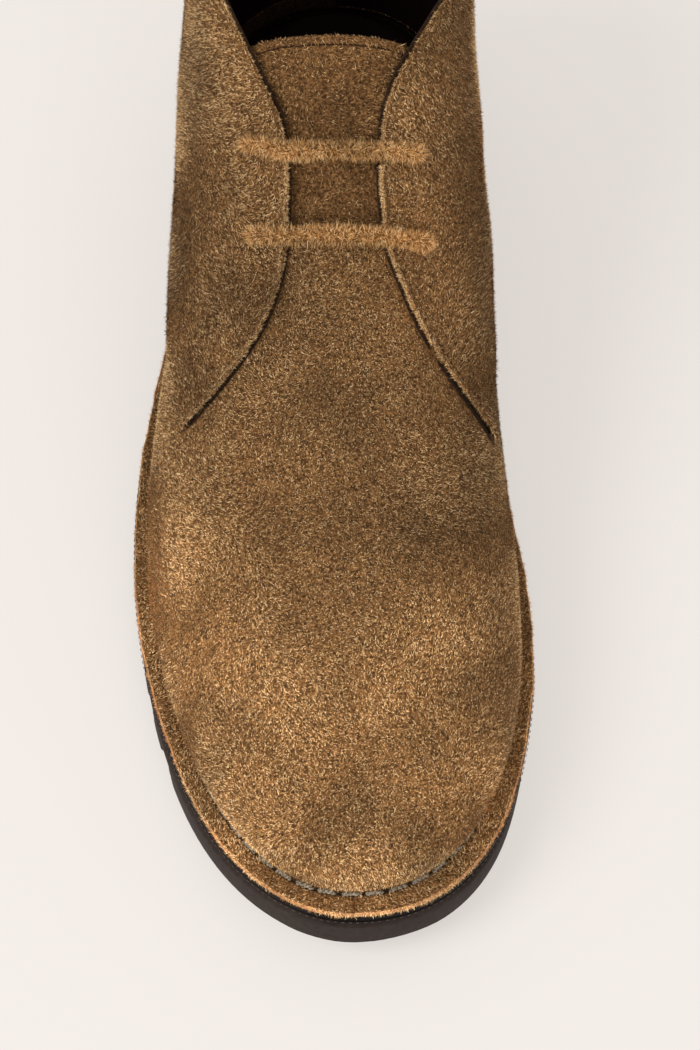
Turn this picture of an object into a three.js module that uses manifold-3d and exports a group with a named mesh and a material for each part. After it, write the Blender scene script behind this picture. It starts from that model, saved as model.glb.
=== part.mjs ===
// Chukka boot for a right foot, stitch-down make, about EU 42.
// Millimetres, +Z up, toe towards -Y, big-toe side towards +X.
//
// Every curved piece is worked out from one last: a feather line (the plan
// outline of the foot's sole), a belly line (where the side wall is widest)
// and a ridge line (the height over the middle of the foot). Along the boot
// the last is measured by s, the distance forward from the back of the
// feather line. A section is given for each s in the tables below.

import * as THREE from 'three';
import { mergeVertices } from 'three/addons/utils/BufferGeometryUtils.js';
import Module from 'manifold-3d';

const wasm = await Module();
wasm.setup();

// ---------------------------------------------------------------- sizes

const LAST_LENGTH = 276;      // feather line, heel to toe
const BELLY_BULGE = 3;        // the belly line stands this far out at heel and toe
const LATERAL = -1;           // side signs along X
const MEDIAL = 1;
const BALL = { [LATERAL]: 165, [MEDIAL]: 205 };     // s of the widest point on each side
const TOE_ROUND = { [LATERAL]: 2.25, [MEDIAL]: 2.08 };
const HEEL_SEAT = 36;         // s where the back curve of the heel begins
const HEEL_ROUND = 2.2;
const CROWN_TOE_START = 214;  // s where the toe dome starts to come down
const CROWN_TOE_ROUND = 2.4;
const TOE_SWING_START = 200;  // the middle line swings inwards from here
const TOE_SWING_LENGTH = 80;
const TOE_SWING = 5.6;

const SUEDE = 1.7;            // base wall of the upper
const QUARTER_PROUD = 1.3;    // the quarters lie this much above the vamp
const FLANGE = 2.0;           // thickness of the turned-out edge
const GAP = 0.3;              // air between neighbouring curved pieces
const WELD = 0.02;            // facets closer than this are joined

const MIDSOLE = 2.2;
const INSOLE = 3.5;
const INSOLE_EASE = 0.6;      // between the insole edge and the inner wall

const HOLE_RADIUS = 3.0;      // punched lace holes
const LACE_RADIUS = 1.9;

// ---------------------------------------------------------------- tables

// Half widths of the feather and belly lines, height of the belly above the
// bed, height of the ridge above the ground, and the roundness of the section
// over the foot (2 is an ellipse, more is squarer).
const LAST = [
  { s: 0, featherLat: 33.0, featherMed: 33.0, bellyLat: 36.2, bellyMed: 35.2, bellyUp: 30, ridge: 160, across: 2.2, over: 2.2 },
  { s: 36, featherLat: 33.0, featherMed: 33.0, bellyLat: 38.2, bellyMed: 36.2, bellyUp: 34, ridge: 218, across: 2.2, over: 2.2 },
  { s: 60, featherLat: 34.5, featherMed: 32.2, bellyLat: 40.0, bellyMed: 37.5, bellyUp: 36, ridge: 174, across: 2.2, over: 2.2 },
  { s: 83, featherLat: 37.0, featherMed: 31.0, bellyLat: 41.6, bellyMed: 39.2, bellyUp: 35, ridge: 136.0, across: 2.2, over: 2.3 },
  { s: 108, featherLat: 40.2, featherMed: 31.0, bellyLat: 42.8, bellyMed: 41.0, bellyUp: 30, ridge: 104.7, across: 2.1, over: 2.3 },
  { s: 125, featherLat: 42.6, featherMed: 33.3, bellyLat: 44.5, bellyMed: 42.6, bellyUp: 25, ridge: 90.2, across: 2.0, over: 2.25 },
  { s: 145, featherLat: 45.4, featherMed: 37.5, bellyLat: 47.6, bellyMed: 44.4, bellyUp: 19, ridge: 78, across: 2.0, over: 2.1 },
  { s: 165, featherLat: 46.4, featherMed: 41.3, bellyLat: 49.8, bellyMed: 46.7, bellyUp: 15, ridge: 69, across: 2.0, over: 2.05 },
  { s: 185, featherLat: 46.0, featherMed: 44.2, bellyLat: 50.0, bellyMed: 48.7, bellyUp: 13, ridge: 62, across: 2.0, over: 2.05 },
  { s: 205, featherLat: 45.0, featherMed: 45.2, bellyLat: 49.2, bellyMed: 49.3, bellyUp: 12, ridge: 56.5, across: 2.05, over: 2.1 },
  { s: 230, featherLat: 43.8, featherMed: 45.0, bellyLat: 47.8, bellyMed: 49.2, bellyUp: 11, ridge: 51, across: 2.1, over: 2.15 },
  { s: 255, featherLat: 43.4, featherMed: 45.0, bellyLat: 47.5, bellyMed: 49.2, bellyUp: 10, ridge: 47, across: 2.15, over: 2.2 },
  { s: 279, featherLat: 43.4, featherMed: 45.0, bellyLat: 47.5, bellyMed: 49.2, bellyUp: 10, ridge: 45, across: 2.15, over: 2.2 },
];

// The bed is the top of the midsole: heel lift, arch, ball and toe spring.
// margin is how far the turned-out flange reaches past the feather line,
// proud how far the sole reaches past the flange, and rubber how thick the
// outsole is under the midsole.
const GROUND = [
  { s: -10, bed: 26.2, margin: 4.5, proud: 0.6, rubber: 6.0 },
  { s: 40, bed: 25.6, margin: 4.6, proud: 0.4, rubber: 6.0 },
  { s: 70, bed: 24.5, margin: 4.8, proud: 0.1, rubber: 6.2 },
  { s: 110, bed: 19.8, margin: 6.0, proud: -0.2, rubber: 7.4 },
  { s: 150, bed: 14.4, margin: 7.6, proud: -0.3, rubber: 9.6 },
  { s: 168, bed: 12.5, margin: 7.8, proud: -0.3, rubber: 10.0 },
  { s: 205, bed: 12.5, margin: 8.0, proud: 0.0, rubber: 10.0 },
  { s: 240, bed: 14.8, margin: 7.6, proud: 0.8, rubber: 9.6 },
  { s: 262, bed: 17.4, margin: 8.0, proud: 1.5, rubber: 9.4 },
  { s: 285, bed: 20.6, margin: 8.2, proud: 1.7, rubber: 9.0 },
];

// Front edges of the two quarters in plan: half the open throat at each s,
// from the collar corner down to the point of the wing.
const THROAT = [
  { s: 58, lateral: 30.0, medial: 29.5 },
  { s: 64, lateral: 31.0, medial: 30.4 },
  { s: 70, lateral: 30.2, medial: 29.6 },
  { s: 77, lateral: 26.8, medial: 26.0 },
  { s: 85, lateral: 22.3, medial: 20.8 },
  { s: 92, lateral: 18.0, medial: 15.8 },
  { s: 99, lateral: 13.6, medial: 12.7 },
  { s: 108, lateral: 11.5, medial: 11.7 },
  { s: 117, lateral: 11.6, medial: 12.2 },
  { s: 125, lateral: 12.6, medial: 13.8 },
  { s: 132, lateral: 14.5, medial: 17.4 },
  { s: 139, lateral: 17.6, medial: 21.8 },
  { s: 145, lateral: 21.6, medial: 26.4 },
  { s: 151, lateral: 27.8, medial: 32.4 },
  { s: 156, lateral: 33.8, medial: 38.6 },
  { s: 160, lateral: 39.6, medial: 43.4 },
  { s: 163, lateral: 45.0, medial: 48.0 },
];

// Side view of the wing: lower edge of the quarters, from the sole at the
// waist up and forward to the point of the wing.
const WING = [
  { s: 82, up: 0 },
  { s: 90, up: 11 },
  { s: 101, up: 22 },
  { s: 116, up: 31 },
  { s: 134, up: 37 },
  { s: 150, up: 39.5 },
  { s: 170, up: 38 },
];

// Side view of the collar, from the back of the heel to the front corners.
const COLLAR = [
  { s: -20, z: 121.5 },
  { s: 6, z: 120.5 },
  { s: 26, z: 118.5 },
  { s: 44, z: 118.5 },
  { s: 56, z: 121.5 },
  { s: 66, z: 127 },
];
const COLLAR_CORNER = 70;     // s where the collar meets the throat edge
const VAMP_EDGE = 121.5;      // s of the vamp's top edge in the throat

// Tongue: half width at each s, from the free top to the end under the vamp.
const TONGUE = [
  { s: 87.6, halfWidth: 25.2 },
  { s: 90, halfWidth: 24.4 },
  { s: 94, halfWidth: 22.6 },
  { s: 101, halfWidth: 19.0 },
  { s: 110, halfWidth: 17.4 },
  { s: 122, halfWidth: 17.2 },
  { s: 136, halfWidth: 16.5 },
];
const TONGUE_ARCH = -2.0;     // its top corners reach this much further back than its middle
const TONGUE_THICK = 1.8;
const TONGUE_GAP = 0.5;       // below the inner face of the vamp and quarters

// Two rows of lace holes: s and distance from the middle line on each side,
// and the s at which the bar of lace between them crosses the middle.
const HOLES = [
  { middle: 122.1, lateral: { s: 120.7, out: 20.2 }, medial: { s: 121.4, out: 23.6 } },
  { middle: 105.2, lateral: { s: 102.2, out: 21.6 }, medial: { s: 103.9, out: 21.3 } },
];

// ---------------------------------------------------------------- curves

const clamp01 = (t) => Math.min(Math.max(t, 0), 1);

// Smooth curve through one column of a table.
function follow(table, column, s) {
  const last = table.length - 2;
  let i = 0;
  while (i < last && s > table[i + 1].s) i += 1;
  const slope = (k) => (table[k + 1][column] - table[k][column]) / (table[k + 1].s - table[k].s);
  const bend = (k) => {
    if (k === 0) return slope(0);
    if (k === table.length - 1) return slope(k - 1);
    const before = table[k].s - table[k - 1].s;
    const after = table[k + 1].s - table[k].s;
    return (slope(k - 1) * after + slope(k) * before) / (before + after);
  };
  const width = table[i + 1].s - table[i].s;
  const t = clamp01((s - table[i].s) / width);
  const startPart = (2 * t ** 3 - 3 * t ** 2 + 1) * table[i][column];
  const startBend = (t ** 3 - 2 * t ** 2 + t) * width * bend(i);
  const endPart = (3 * t ** 2 - 2 * t ** 3) * table[i + 1][column];
  const endBend = (t ** 3 - t ** 2) * width * bend(i + 1);
  return startPart + startBend + endPart + endBend;
}

// Quarter of a squarish ellipse: 1 at t = 0, closing to 0 at t = 1.
const roundOff = (t, roundness) => (1 - clamp01(t) ** roundness) ** (1 / roundness);

const bed = (s) => follow(GROUND, 'bed', s);
const margin = (s) => follow(GROUND, 'margin', s);
const soleEdge = (s) => margin(s) + follow(GROUND, 'proud', s);
const middle = (s) => TOE_SWING * clamp01((s - TOE_SWING_START) / TOE_SWING_LENGTH) ** 2;

// Half width in plan. level 0 is the feather line, level 1 the belly line;
// grow pushes the whole outline outwards.
function halfWidth(side, s, level, grow) {
  const sideName = side === LATERAL ? 'Lat' : 'Med';
  const feather = follow(LAST, `feather${sideName}`, s);
  const belly = follow(LAST, `belly${sideName}`, s);
  const reach = BELLY_BULGE * level + grow;
  const base = feather + (belly - feather) * level + grow;
  const toe = roundOff((s - BALL[side]) / (LAST_LENGTH + reach - BALL[side]), TOE_ROUND[side]);
  const heel = roundOff((HEEL_SEAT - s) / (HEEL_SEAT + reach), HEEL_ROUND);
  return base * toe * heel;
}

// Height of the ridge above the belly line.
function crown(s) {
  const toeRun = LAST_LENGTH + BELLY_BULGE - CROWN_TOE_START;
  const toe = roundOff((s - CROWN_TOE_START) / toeRun, CROWN_TOE_ROUND);
  const heel = roundOff((HEEL_SEAT - s) / (HEEL_SEAT + BELLY_BULGE), HEEL_ROUND);
  return (follow(LAST, 'ridge', s) - bed(s) - follow(LAST, 'bellyUp', s)) * toe * heel;
}

// Height of the last's surface over the plan point (x, s).
function topHeight(x, s) {
  const side = x < middle(s) ? LATERAL : MEDIAL;
  const out = clamp01(Math.abs(x - middle(s)) / halfWidth(side, s, 1, 0));
  const rise = (1 - out ** follow(LAST, 'across', s)) ** (1 / follow(LAST, 'over', s));
  return bed(s) + follow(LAST, 'bellyUp', s) + crown(s) * rise;
}

// A point lifted off the last's upper surface, square to it.
function onTop(x, s, lift) {
  const step = 0.5;
  const slopeX = (topHeight(x + step, s) - topHeight(x - step, s)) / (2 * step);
  const slopeS = (topHeight(x, s + step) - topHeight(x, s - step)) / (2 * step);
  const normal = new THREE.Vector3(-slopeX, slopeS, 1).normalize();
  return new THREE.Vector3(x, -s, topHeight(x, s)).addScaledVector(normal, lift);
}

// ---------------------------------------------------------------- solids

// Welds points, drops the flat triangles left at the poles.
function weld(points, faces) {
  const raw = new THREE.BufferGeometry();
  raw.setAttribute('position', new THREE.Float32BufferAttribute(points.flatMap((p) => [p.x, p.y, p.z]), 3));
  raw.setIndex(faces);
  const merged = mergeVertices(raw, 1e-3);
  const index = [];
  const all = merged.index.array;
  for (let k = 0; k < all.length; k += 3) {
    const [a, b, c] = [all[k], all[k + 1], all[k + 2]];
    if (a !== b && b !== c && c !== a) index.push(a, b, c);
  }
  merged.setIndex(index);
  return merged;
}

// Closed skin through rings of equal length. The ends are closed by a strip
// between the ring's two long sides, unless they are already folded flat.
function skin(rings, capEnds) {
  const count = rings[0].length;
  const points = rings.flat();
  const faces = [];
  for (let i = 0; i < rings.length - 1; i += 1) {
    for (let j = 0; j < count; j += 1) {
      const next = (j + 1) % count;
      const a = i * count + j;
      const b = i * count + next;
      const c = (i + 1) * count + next;
      const d = (i + 1) * count + j;
      faces.push(a, c, b, a, d, c);
    }
  }
  if (capEnds) {
    const end = (rings.length - 1) * count;
    for (let j = 0; j < count / 2 - 1; j += 1) {
      const mate = count - 1 - j;
      faces.push(j, j + 1, mate - 1, j, mate - 1, mate);
      faces.push(end + j, end + mate - 1, end + j + 1, end + j, end + mate, end + mate - 1);
    }
  }
  return weld(points, faces);
}

function toSolid(geometry) {
  const mesh = new wasm.Mesh({
    numProp: 3,
    vertProperties: new Float32Array(geometry.attributes.position.array),
    triVerts: new Uint32Array(geometry.index.array),
  });
  mesh.merge();
  const solid = new wasm.Manifold(mesh);
  return solid;
}

function toGeometry(solid) {
  const mesh = solid.getMesh();
  const geometry = new THREE.BufferGeometry();
  const positions = [];
  for (let k = 0; k < mesh.vertProperties.length; k += mesh.numProp) {
    positions.push(mesh.vertProperties[k], mesh.vertProperties[k + 1], mesh.vertProperties[k + 2]);
  }
  geometry.setAttribute('position', new THREE.Float32BufferAttribute(positions, 3));
  geometry.setIndex(Array.from(mesh.triVerts));
  return geometry;
}

const solidFrom = (rings, capEnds = false) => toSolid(skin(rings, capEnds));

// Even steps of angle along the boot: close together at heel and toe.
const alongSteps = (count) => Array.from({ length: count + 1 }, (_, i) => (1 - Math.cos((Math.PI * i) / count)) / 2);

// s of one outline at a given fraction of its own length.
function alongOutline(fraction, level, growHeel, growToe) {
  const start = -BELLY_BULGE * level - growHeel;
  const end = LAST_LENGTH + BELLY_BULGE * level + growToe;
  return start + (end - start) * fraction;
}

// Flat-ish layer between two heights, with the plan outline grown by grow(s).
function layer(grow, low, high, steps) {
  const growHeel = grow(-4);
  const growToe = grow(284);
  const rings = alongSteps(steps).map((fraction) => {
    const s = alongOutline(fraction, 0, growHeel, growToe);
    const place = (side, z) => {
      const x = middle(s) + side * layerHalfWidth(side, s, grow(s), growHeel, growToe);
      return new THREE.Vector3(x, -s, z);
    };
    return [place(LATERAL, low(s)), place(LATERAL, high(s)), place(MEDIAL, high(s)), place(MEDIAL, low(s))];
  });
  return solidFrom(rings);
}

// The same outline as halfWidth, closed exactly at the layer's own two ends.
function layerHalfWidth(side, s, grow, growHeel, growToe) {
  const feather = follow(LAST, side === LATERAL ? 'featherLat' : 'featherMed', s);
  const toe = roundOff((s - BALL[side]) / (LAST_LENGTH + growToe - BALL[side]), TOE_ROUND[side]);
  const heel = roundOff((HEEL_SEAT - s) / (HEEL_SEAT + growHeel), HEEL_ROUND);
  return (feather + grow) * toe * heel;
}

// Sheet cut from a table in plan or side view, pushed straight through.
function plateFrom(outline, depth, turn) {
  const shape = new THREE.Shape(outline.map(([a, b]) => new THREE.Vector2(a, b)));
  const geometry = new THREE.ExtrudeGeometry(shape, { depth, bevelEnabled: false });
  geometry.applyMatrix4(turn);
  geometry.deleteAttribute('normal');
  geometry.deleteAttribute('uv');
  return toSolid(mergeVertices(geometry, 1e-4));
}

// Plan outline given as [x, -s], standing from a low to a high z.
const standing = (low) => new THREE.Matrix4().makeTranslation(0, 0, low);

// Side outline given as [-s, z], running across the whole boot from -X to +X.
function crossing(halfSpan) {
  const turn = new THREE.Matrix4();
  turn.set(0, 0, 1, -halfSpan, 1, 0, 0, 0, 0, 1, 0, 0, 0, 0, 0, 1);
  return turn;
}

// Even samples of a table column between two values of s.
function sampled(table, column, from, to, count) {
  return Array.from({ length: count + 1 }, (_, i) => {
    const s = from + ((to - from) * i) / count;
    return { s, value: follow(table, column, s) };
  });
}

// ---------------------------------------------------------------- the last as a solid

const WALL_ROWS = 3;
const OVER_ROWS = 20;
const ALONG = 38;

// Rings run from the lateral feather line over the foot to the medial one.
// drop lets the bottom fall below the bed, so that it cuts right through.
function lastRings(drop) {
  return alongSteps(ALONG).map((fraction) => {
    const ring = [];
    const wallPoint = (side, row) => {
      const level = 1 - (1 - row / WALL_ROWS) ** 2;
      const s = alongOutline(fraction, level, 0, 0);
      const x = middle(s) + side * halfWidth(side, s, level, 0);
      const z = bed(s) + (follow(LAST, 'bellyUp', s) * row) / WALL_ROWS;
      return new THREE.Vector3(x, -s, z);
    };
    const bottom = (side) => wallPoint(side, 0).add(new THREE.Vector3(0, 0, -drop));
    if (drop > 0) ring.push(bottom(LATERAL));
    for (let row = 0; row < WALL_ROWS; row += 1) ring.push(wallPoint(LATERAL, row));
    const s = alongOutline(fraction, 1, 0, 0);
    for (let k = 0; k <= OVER_ROWS; k += 1) {
      const angle = (Math.PI * k) / OVER_ROWS;
      const side = k <= OVER_ROWS / 2 ? LATERAL : MEDIAL;
      const out = Math.abs(Math.cos(angle)) ** (2 / follow(LAST, 'across', s));
      const rise = Math.max(Math.sin(angle), 0) ** (2 / follow(LAST, 'over', s));
      const x = middle(s) + side * halfWidth(side, s, 1, 0) * out;
      ring.push(new THREE.Vector3(x, -s, bed(s) + follow(LAST, 'bellyUp', s) + crown(s) * rise));
    }
    for (let row = WALL_ROWS - 1; row >= 0; row -= 1) ring.push(wallPoint(MEDIAL, row));
    if (drop > 0) ring.push(bottom(MEDIAL));
    return ring;
  });
}

// The last moved square to its own skin by lift; negative values go inside.
function lastForm(lift, drop = 0) {
  const geometry = skin(lastRings(drop), false);
  geometry.computeVertexNormals();
  const position = geometry.attributes.position;
  const normal = geometry.attributes.normal;
  for (let k = 0; k < position.count; k += 1) {
    const flat = Math.hypot(normal.getX(k), normal.getY(k));
    const foot = position.getZ(k) <= bed(-position.getY(k)) + GAP;
    const scale = foot ? 1 / Math.max(flat, 0.5) : 1;
    const move = lift * scale;
    position.setX(k, position.getX(k) + normal.getX(k) * move);
    position.setY(k, position.getY(k) + normal.getY(k) * move);
    if (!foot) position.setZ(k, position.getZ(k) + normal.getZ(k) * move);
  }
  geometry.deleteAttribute('normal');
  return toSolid(geometry);
}

// ---------------------------------------------------------------- upper

// Everything in front of the quarters' front edges, in plan.
function frontOfQuarters() {
  const far = 80;
  const from = THROAT[0].s;
  const to = THROAT[THROAT.length - 1].s;
  const medial = sampled(THROAT, 'medial', from, to, 30).map(({ s, value }) => [value, -s]);
  const lateral = sampled(THROAT, 'lateral', from, to, 30).map(({ s, value }) => [-value, -s]);
  const ahead = [[far, -to], [far, -330], [-far, -330], [-far, -to]];
  const underPoint = 40;
  return plateFrom([...medial, ...ahead, ...lateral.reverse()], 300, standing(underPoint));
}

// Everything under the lower edge of the wings, in side view.
function belowWings() {
  const from = WING[0].s;
  const to = WING[WING.length - 1].s;
  const edge = sampled(WING, 'up', from, to, 22).map(({ s, value }) => [-s, bed(s) + value]);
  const ahead = [[-330, bed(to) + WING[WING.length - 1].up], [-330, -20]];
  return plateFrom([[-from, -20], ...edge, ...ahead], 160, crossing(80));
}

// The slot over the tongue, from the vamp's top edge back to the collar.
function throatOpening() {
  const from = THROAT[0].s;
  const medial = sampled(THROAT, 'medial', from, VAMP_EDGE, 18).map(({ s, value }) => [value, -s]);
  const lateral = sampled(THROAT, 'lateral', from, VAMP_EDGE, 18).map(({ s, value }) => [-value, -s]);
  const low = 62;
  return plateFrom([...medial, ...lateral.reverse()], 300, standing(low));
}

// Everything over the collar line, in side view.
function aboveCollar() {
  const lastRow = COLLAR[COLLAR.length - 1];
  const edge = sampled(COLLAR, 'z', COLLAR[0].s, lastRow.s, 22).map(({ s, value }) => [-s, value]);
  const corner = [[-COLLAR_CORNER, lastRow.z + 1.2], [-COLLAR_CORNER - 0.8, lastRow.z + 4]];
  const sky = [[-COLLAR_CORNER - 0.8, 330], [-COLLAR[0].s, 330]];
  return plateFrom([...edge, ...corner, ...sky], 160, crossing(80));
}

const holeOn = (row, side) => (side === LATERAL ? row.lateral : row.medial);

function laceHoles() {
  const punches = [];
  for (const row of HOLES) {
    for (const side of [LATERAL, MEDIAL]) {
      const hole = holeOn(row, side);
      const inside = onTop(side * hole.out, hole.s, -6);
      const outside = onTop(side * hole.out, hole.s, 8);
      const axis = outside.clone().sub(inside);
      const punch = new THREE.CylinderGeometry(HOLE_RADIUS, HOLE_RADIUS, axis.length(), 16);
      const turn = new THREE.Quaternion().setFromUnitVectors(new THREE.Vector3(0, 1, 0), axis.clone().normalize());
      punch.applyQuaternion(turn);
      const centre = inside.clone().addScaledVector(axis, 0.5);
      punch.translate(centre.x, centre.y, centre.z);
      punch.deleteAttribute('normal');
      punch.deleteAttribute('uv');
      punches.push(toSolid(mergeVertices(punch, 1e-4)));
    }
  }
  return wasm.Manifold.union(punches);
}

function makeUpper() {
  const vamp = lastForm(0);
  const quarters = lastForm(QUARTER_PROUD).subtract(frontOfQuarters()).subtract(belowWings());
  const flange = layer(margin, bed, (s) => bed(s) + FLANGE, ALONG);
  const hollow = lastForm(-SUEDE, 8);
  return vamp.add(quarters).add(flange).subtract(hollow)
    .subtract(throatOpening())
    .subtract(aboveCollar())
    .subtract(laceHoles())
    .simplify(WELD);
}

// ---------------------------------------------------------------- tongue

function makeTongue() {
  const rows = 15;
  const columns = 10;
  const from = TONGUE[0].s;
  const to = TONGUE[TONGUE.length - 1].s;
  const outer = -(SUEDE + TONGUE_GAP);
  const inner = outer - TONGUE_THICK;
  const rings = sampled(TONGUE, 'halfWidth', from, to, rows).map(({ s, value }, row) => {
    const arch = TONGUE_ARCH * Math.max(0, 1 - row / 3);
    const across = Array.from({ length: columns + 1 }, (_, k) => (2 * k) / columns - 1);
    const place = (t, lift) => onTop(value * t, s + arch * t * t, lift);
    const top = across.map((t) => place(t, outer));
    const under = across.map((t) => place(t, inner)).reverse();
    return [...top, ...under];
  });
  return solidFrom(rings, true);
}

// ---------------------------------------------------------------- sole

const midsoleTop = (s) => bed(s) - GAP;
const outsoleTop = (s) => midsoleTop(s) - MIDSOLE - GAP;
const outsoleLow = (s) => outsoleTop(s) - follow(GROUND, 'rubber', s);

const LUG_PITCH = 17;
const NOTCH_RADIUS = 5.2;     // scooped gaps between the side lugs
const NOTCH_RISE = 1.5;       // they are this much taller than round
const NOTCH_DEPTH = 8.5;
const TREAD_INSET = 13;       // the bars sit inside this rim, from the feather line
const TREAD_DEPTH = 3.2;
const BAR = 9;                // length of a bar along the boot
const BAR_SPLIT = 4;          // groove down the middle
const TOE_BLOCK = 234;        // the rim is plain in front of this s
const REAR_SCOOP = 131;       // the forepart's rearmost side gap
const WAIST = 112;            // lugs start in front of this s
const HEEL_BREAST = 80;

const midsoleEdge = (s) => soleEdge(s) - 0.4;

// Round-ended gaps cut into the edge of a sole piece at each pitch.
function sideNotches(from, to, low) {
  const notches = [];
  for (let s = from; s <= to; s += LUG_PITCH) {
    for (const side of [LATERAL, MEDIAL]) {
      const edge = layerHalfWidth(side, s, soleEdge(s), soleEdge(0), soleEdge(284));
      const scoop = new THREE.CylinderGeometry(NOTCH_RADIUS, NOTCH_RADIUS * 0.55, NOTCH_DEPTH * 2, 14);
      scoop.rotateZ((side * -Math.PI) / 2);
      scoop.scale(1, 1, NOTCH_RISE);
      scoop.translate(middle(s) + side * edge, -s, low(s) - 0.6);
      scoop.deleteAttribute('normal');
      scoop.deleteAttribute('uv');
      notches.push(toSolid(mergeVertices(scoop, 1e-4)));
    }
  }
  return wasm.Manifold.union(notches);
}

const box = (x, s, z, width, length, height) => wasm.Manifold.cube([width, length, height], true).translate([x, -s, z]);

// The sunk middle of the tread with bars left standing in it.
function treadField(from, to, low) {
  const inset = () => -TREAD_INSET + margin(150);
  const deep = layer(inset, () => -12, (s) => low(s) + TREAD_DEPTH, 30);
  const reach = box(0, (from + to) / 2, 0, 160, to - from, 80);
  let bars = [];
  for (let s = from + LUG_PITCH / 2; s < to; s += LUG_PITCH) {
    for (const side of [LATERAL, MEDIAL]) {
      bars.push(box(side * (40 + BAR_SPLIT / 2), s, 0, 80, BAR, 80));
    }
  }
  return deep.intersect(reach).subtract(wasm.Manifold.union(bars));
}

const aboveGround = box(0, 140, 100, 300, 400, 200);

function makeOutsole() {
  const slab = layer(soleEdge, outsoleLow, outsoleTop, ALONG);
  const lugs = sideNotches(REAR_SCOOP, TOE_BLOCK, outsoleLow);
  const field = treadField(WAIST, TOE_BLOCK + 14, outsoleLow);
  return slab.intersect(aboveGround).subtract(lugs).subtract(field);
}

function makeHeel() {
  const ground = () => 0;
  const block = layer(soleEdge, ground, (s) => outsoleLow(s) - GAP, ALONG);
  const lean = 5;
  const behind = plateFrom([[20, -5], [-HEEL_BREAST, -5], [-HEEL_BREAST - lean, 40], [20, 40]], 160, crossing(80));
  const lugs = sideNotches(14, HEEL_BREAST - 8, ground);
  const field = treadField(8, HEEL_BREAST - 8, ground);
  return block.intersect(behind).subtract(lugs).subtract(field);
}

const makeMidsole = () => layer(midsoleEdge, (s) => midsoleTop(s) - MIDSOLE, midsoleTop, ALONG);

function makeInsole() {
  const grow = () => -(SUEDE + INSOLE_EASE);
  return layer(grow, bed, (s) => bed(s) + INSOLE, ALONG);
}

// ---------------------------------------------------------------- lace

// One lace. It starts under the medial top hole, comes out of the medial low
// hole, crosses, goes in, runs up inside, comes out of the lateral top hole,
// crosses again and stops just inside the medial top hole.
function laceRoute() {
  const over = QUARTER_PROUD + LACE_RADIUS + 0.5;
  const under = -(SUEDE + LACE_RADIUS + 0.6);
  const throatEdge = 12;
  const [low, top] = HOLES;
  const half = (row, side) => {
    const hole = holeOn(row, side);
    const at = (share) => hole.s + (row.middle - hole.s) * share;
    return [
      onTop(side * hole.out, hole.s, -1.6),
      onTop(side * hole.out, hole.s, 0.6),
      onTop(side * (hole.out - 0.7), at(0.1), over - 0.9),
      onTop(side * (hole.out - 3.8), at(0.35), over + 0.2),
      onTop(side * throatEdge, at(1), over + 0.1),
    ];
  };
  const crossingPoint = (row) => {
    const edge = onTop(throatEdge, row.middle, over + 0.1);
    return new THREE.Vector3(0, edge.y, edge.z + 0.5);
  };
  const bar = (row, from, to) => [...half(row, from), crossingPoint(row), ...half(row, to).reverse()];
  const inside = (row, side, further, ahead, lift) => {
    const hole = holeOn(row, side);
    return onTop(side * (hole.out + further), hole.s + ahead, lift);
  };
  return [
    inside(top, MEDIAL, 4.5, 6.5, under - 0.3),
    inside(low, MEDIAL, 1.8, -6, under - 0.3),
    inside(low, MEDIAL, 0.7, -1.6, under + 0.4),
    ...bar(low, MEDIAL, LATERAL),
    inside(low, LATERAL, 0.9, -1.6, under + 0.4),
    inside(low, LATERAL, 3.2, -6, under - 0.3),
    inside(top, LATERAL, 1.9, 6, under - 0.3),
    inside(top, LATERAL, 0.8, 1.6, under + 0.4),
    ...bar(top, LATERAL, MEDIAL),
    inside(top, MEDIAL, 0, 0, under + 0.6),
  ];
}

function makeLace() {
  const curve = new THREE.CatmullRomCurve3(laceRoute(), false, 'centripetal');
  const round = new THREE.Shape();
  round.absarc(0, 0, LACE_RADIUS, 0, Math.PI * 2);
  const cord = new THREE.ExtrudeGeometry(round, {
    steps: 88,
    curveSegments: 4,
    extrudePath: curve,
    bevelEnabled: false,
  });
  cord.deleteAttribute('normal');
  cord.deleteAttribute('uv');
  return toSolid(mergeVertices(cord, 1e-4));
}

// ---------------------------------------------------------------- boot

const PIECES = [
  { name: 'outsole', solid: makeOutsole(), color: 0x392f2a, roughness: 0.75 },
  { name: 'heel', solid: makeHeel(), color: 0x392f2a, roughness: 0.75 },
  { name: 'midsole', solid: makeMidsole(), color: 0x2d2521, roughness: 0.8 },
  { name: 'insole', solid: makeInsole(), color: 0x3a1a18, roughness: 0.85 },
  { name: 'upper', solid: makeUpper(), color: 0x7d5c39, roughness: 0.95 },
  { name: 'tongue', solid: makeTongue(), color: 0x6a4b2c, roughness: 0.95 },
  { name: 'lace', solid: makeLace(), color: 0x906a41, roughness: 0.95 },
];

const group = new THREE.Group();
group.name = 'chukka_boot';
for (const piece of PIECES) {
  const material = new THREE.MeshStandardMaterial({ color: piece.color, roughness: piece.roughness, metalness: 0 });
  const mesh = new THREE.Mesh(toGeometry(piece.solid), material);
  mesh.name = piece.name;
  group.add(mesh);
}

// Stand the boot with the middle of its bounding box over the origin.
const whole = new THREE.Box3().setFromObject(group);
for (const mesh of group.children) {
  mesh.geometry.translate(-(whole.min.x + whole.max.x) / 2, -(whole.min.y + whole.max.y) / 2, -whole.min.z);
}

export default group;
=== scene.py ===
# %% [markdown]
# A chukka boot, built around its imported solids.
# The boot is a right one, of the stitch-down make: the vamp's lower edge is turned outwards
# and stitched down on a thin midsole, and the two quarters are sewn over the vamp.
# Every piece follows one last, so the first cells describe that last, and each later cell
# makes one piece of leather or rubber on it, the way a maker would lay it on the wood.

# %% Load the frame
import math

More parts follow.
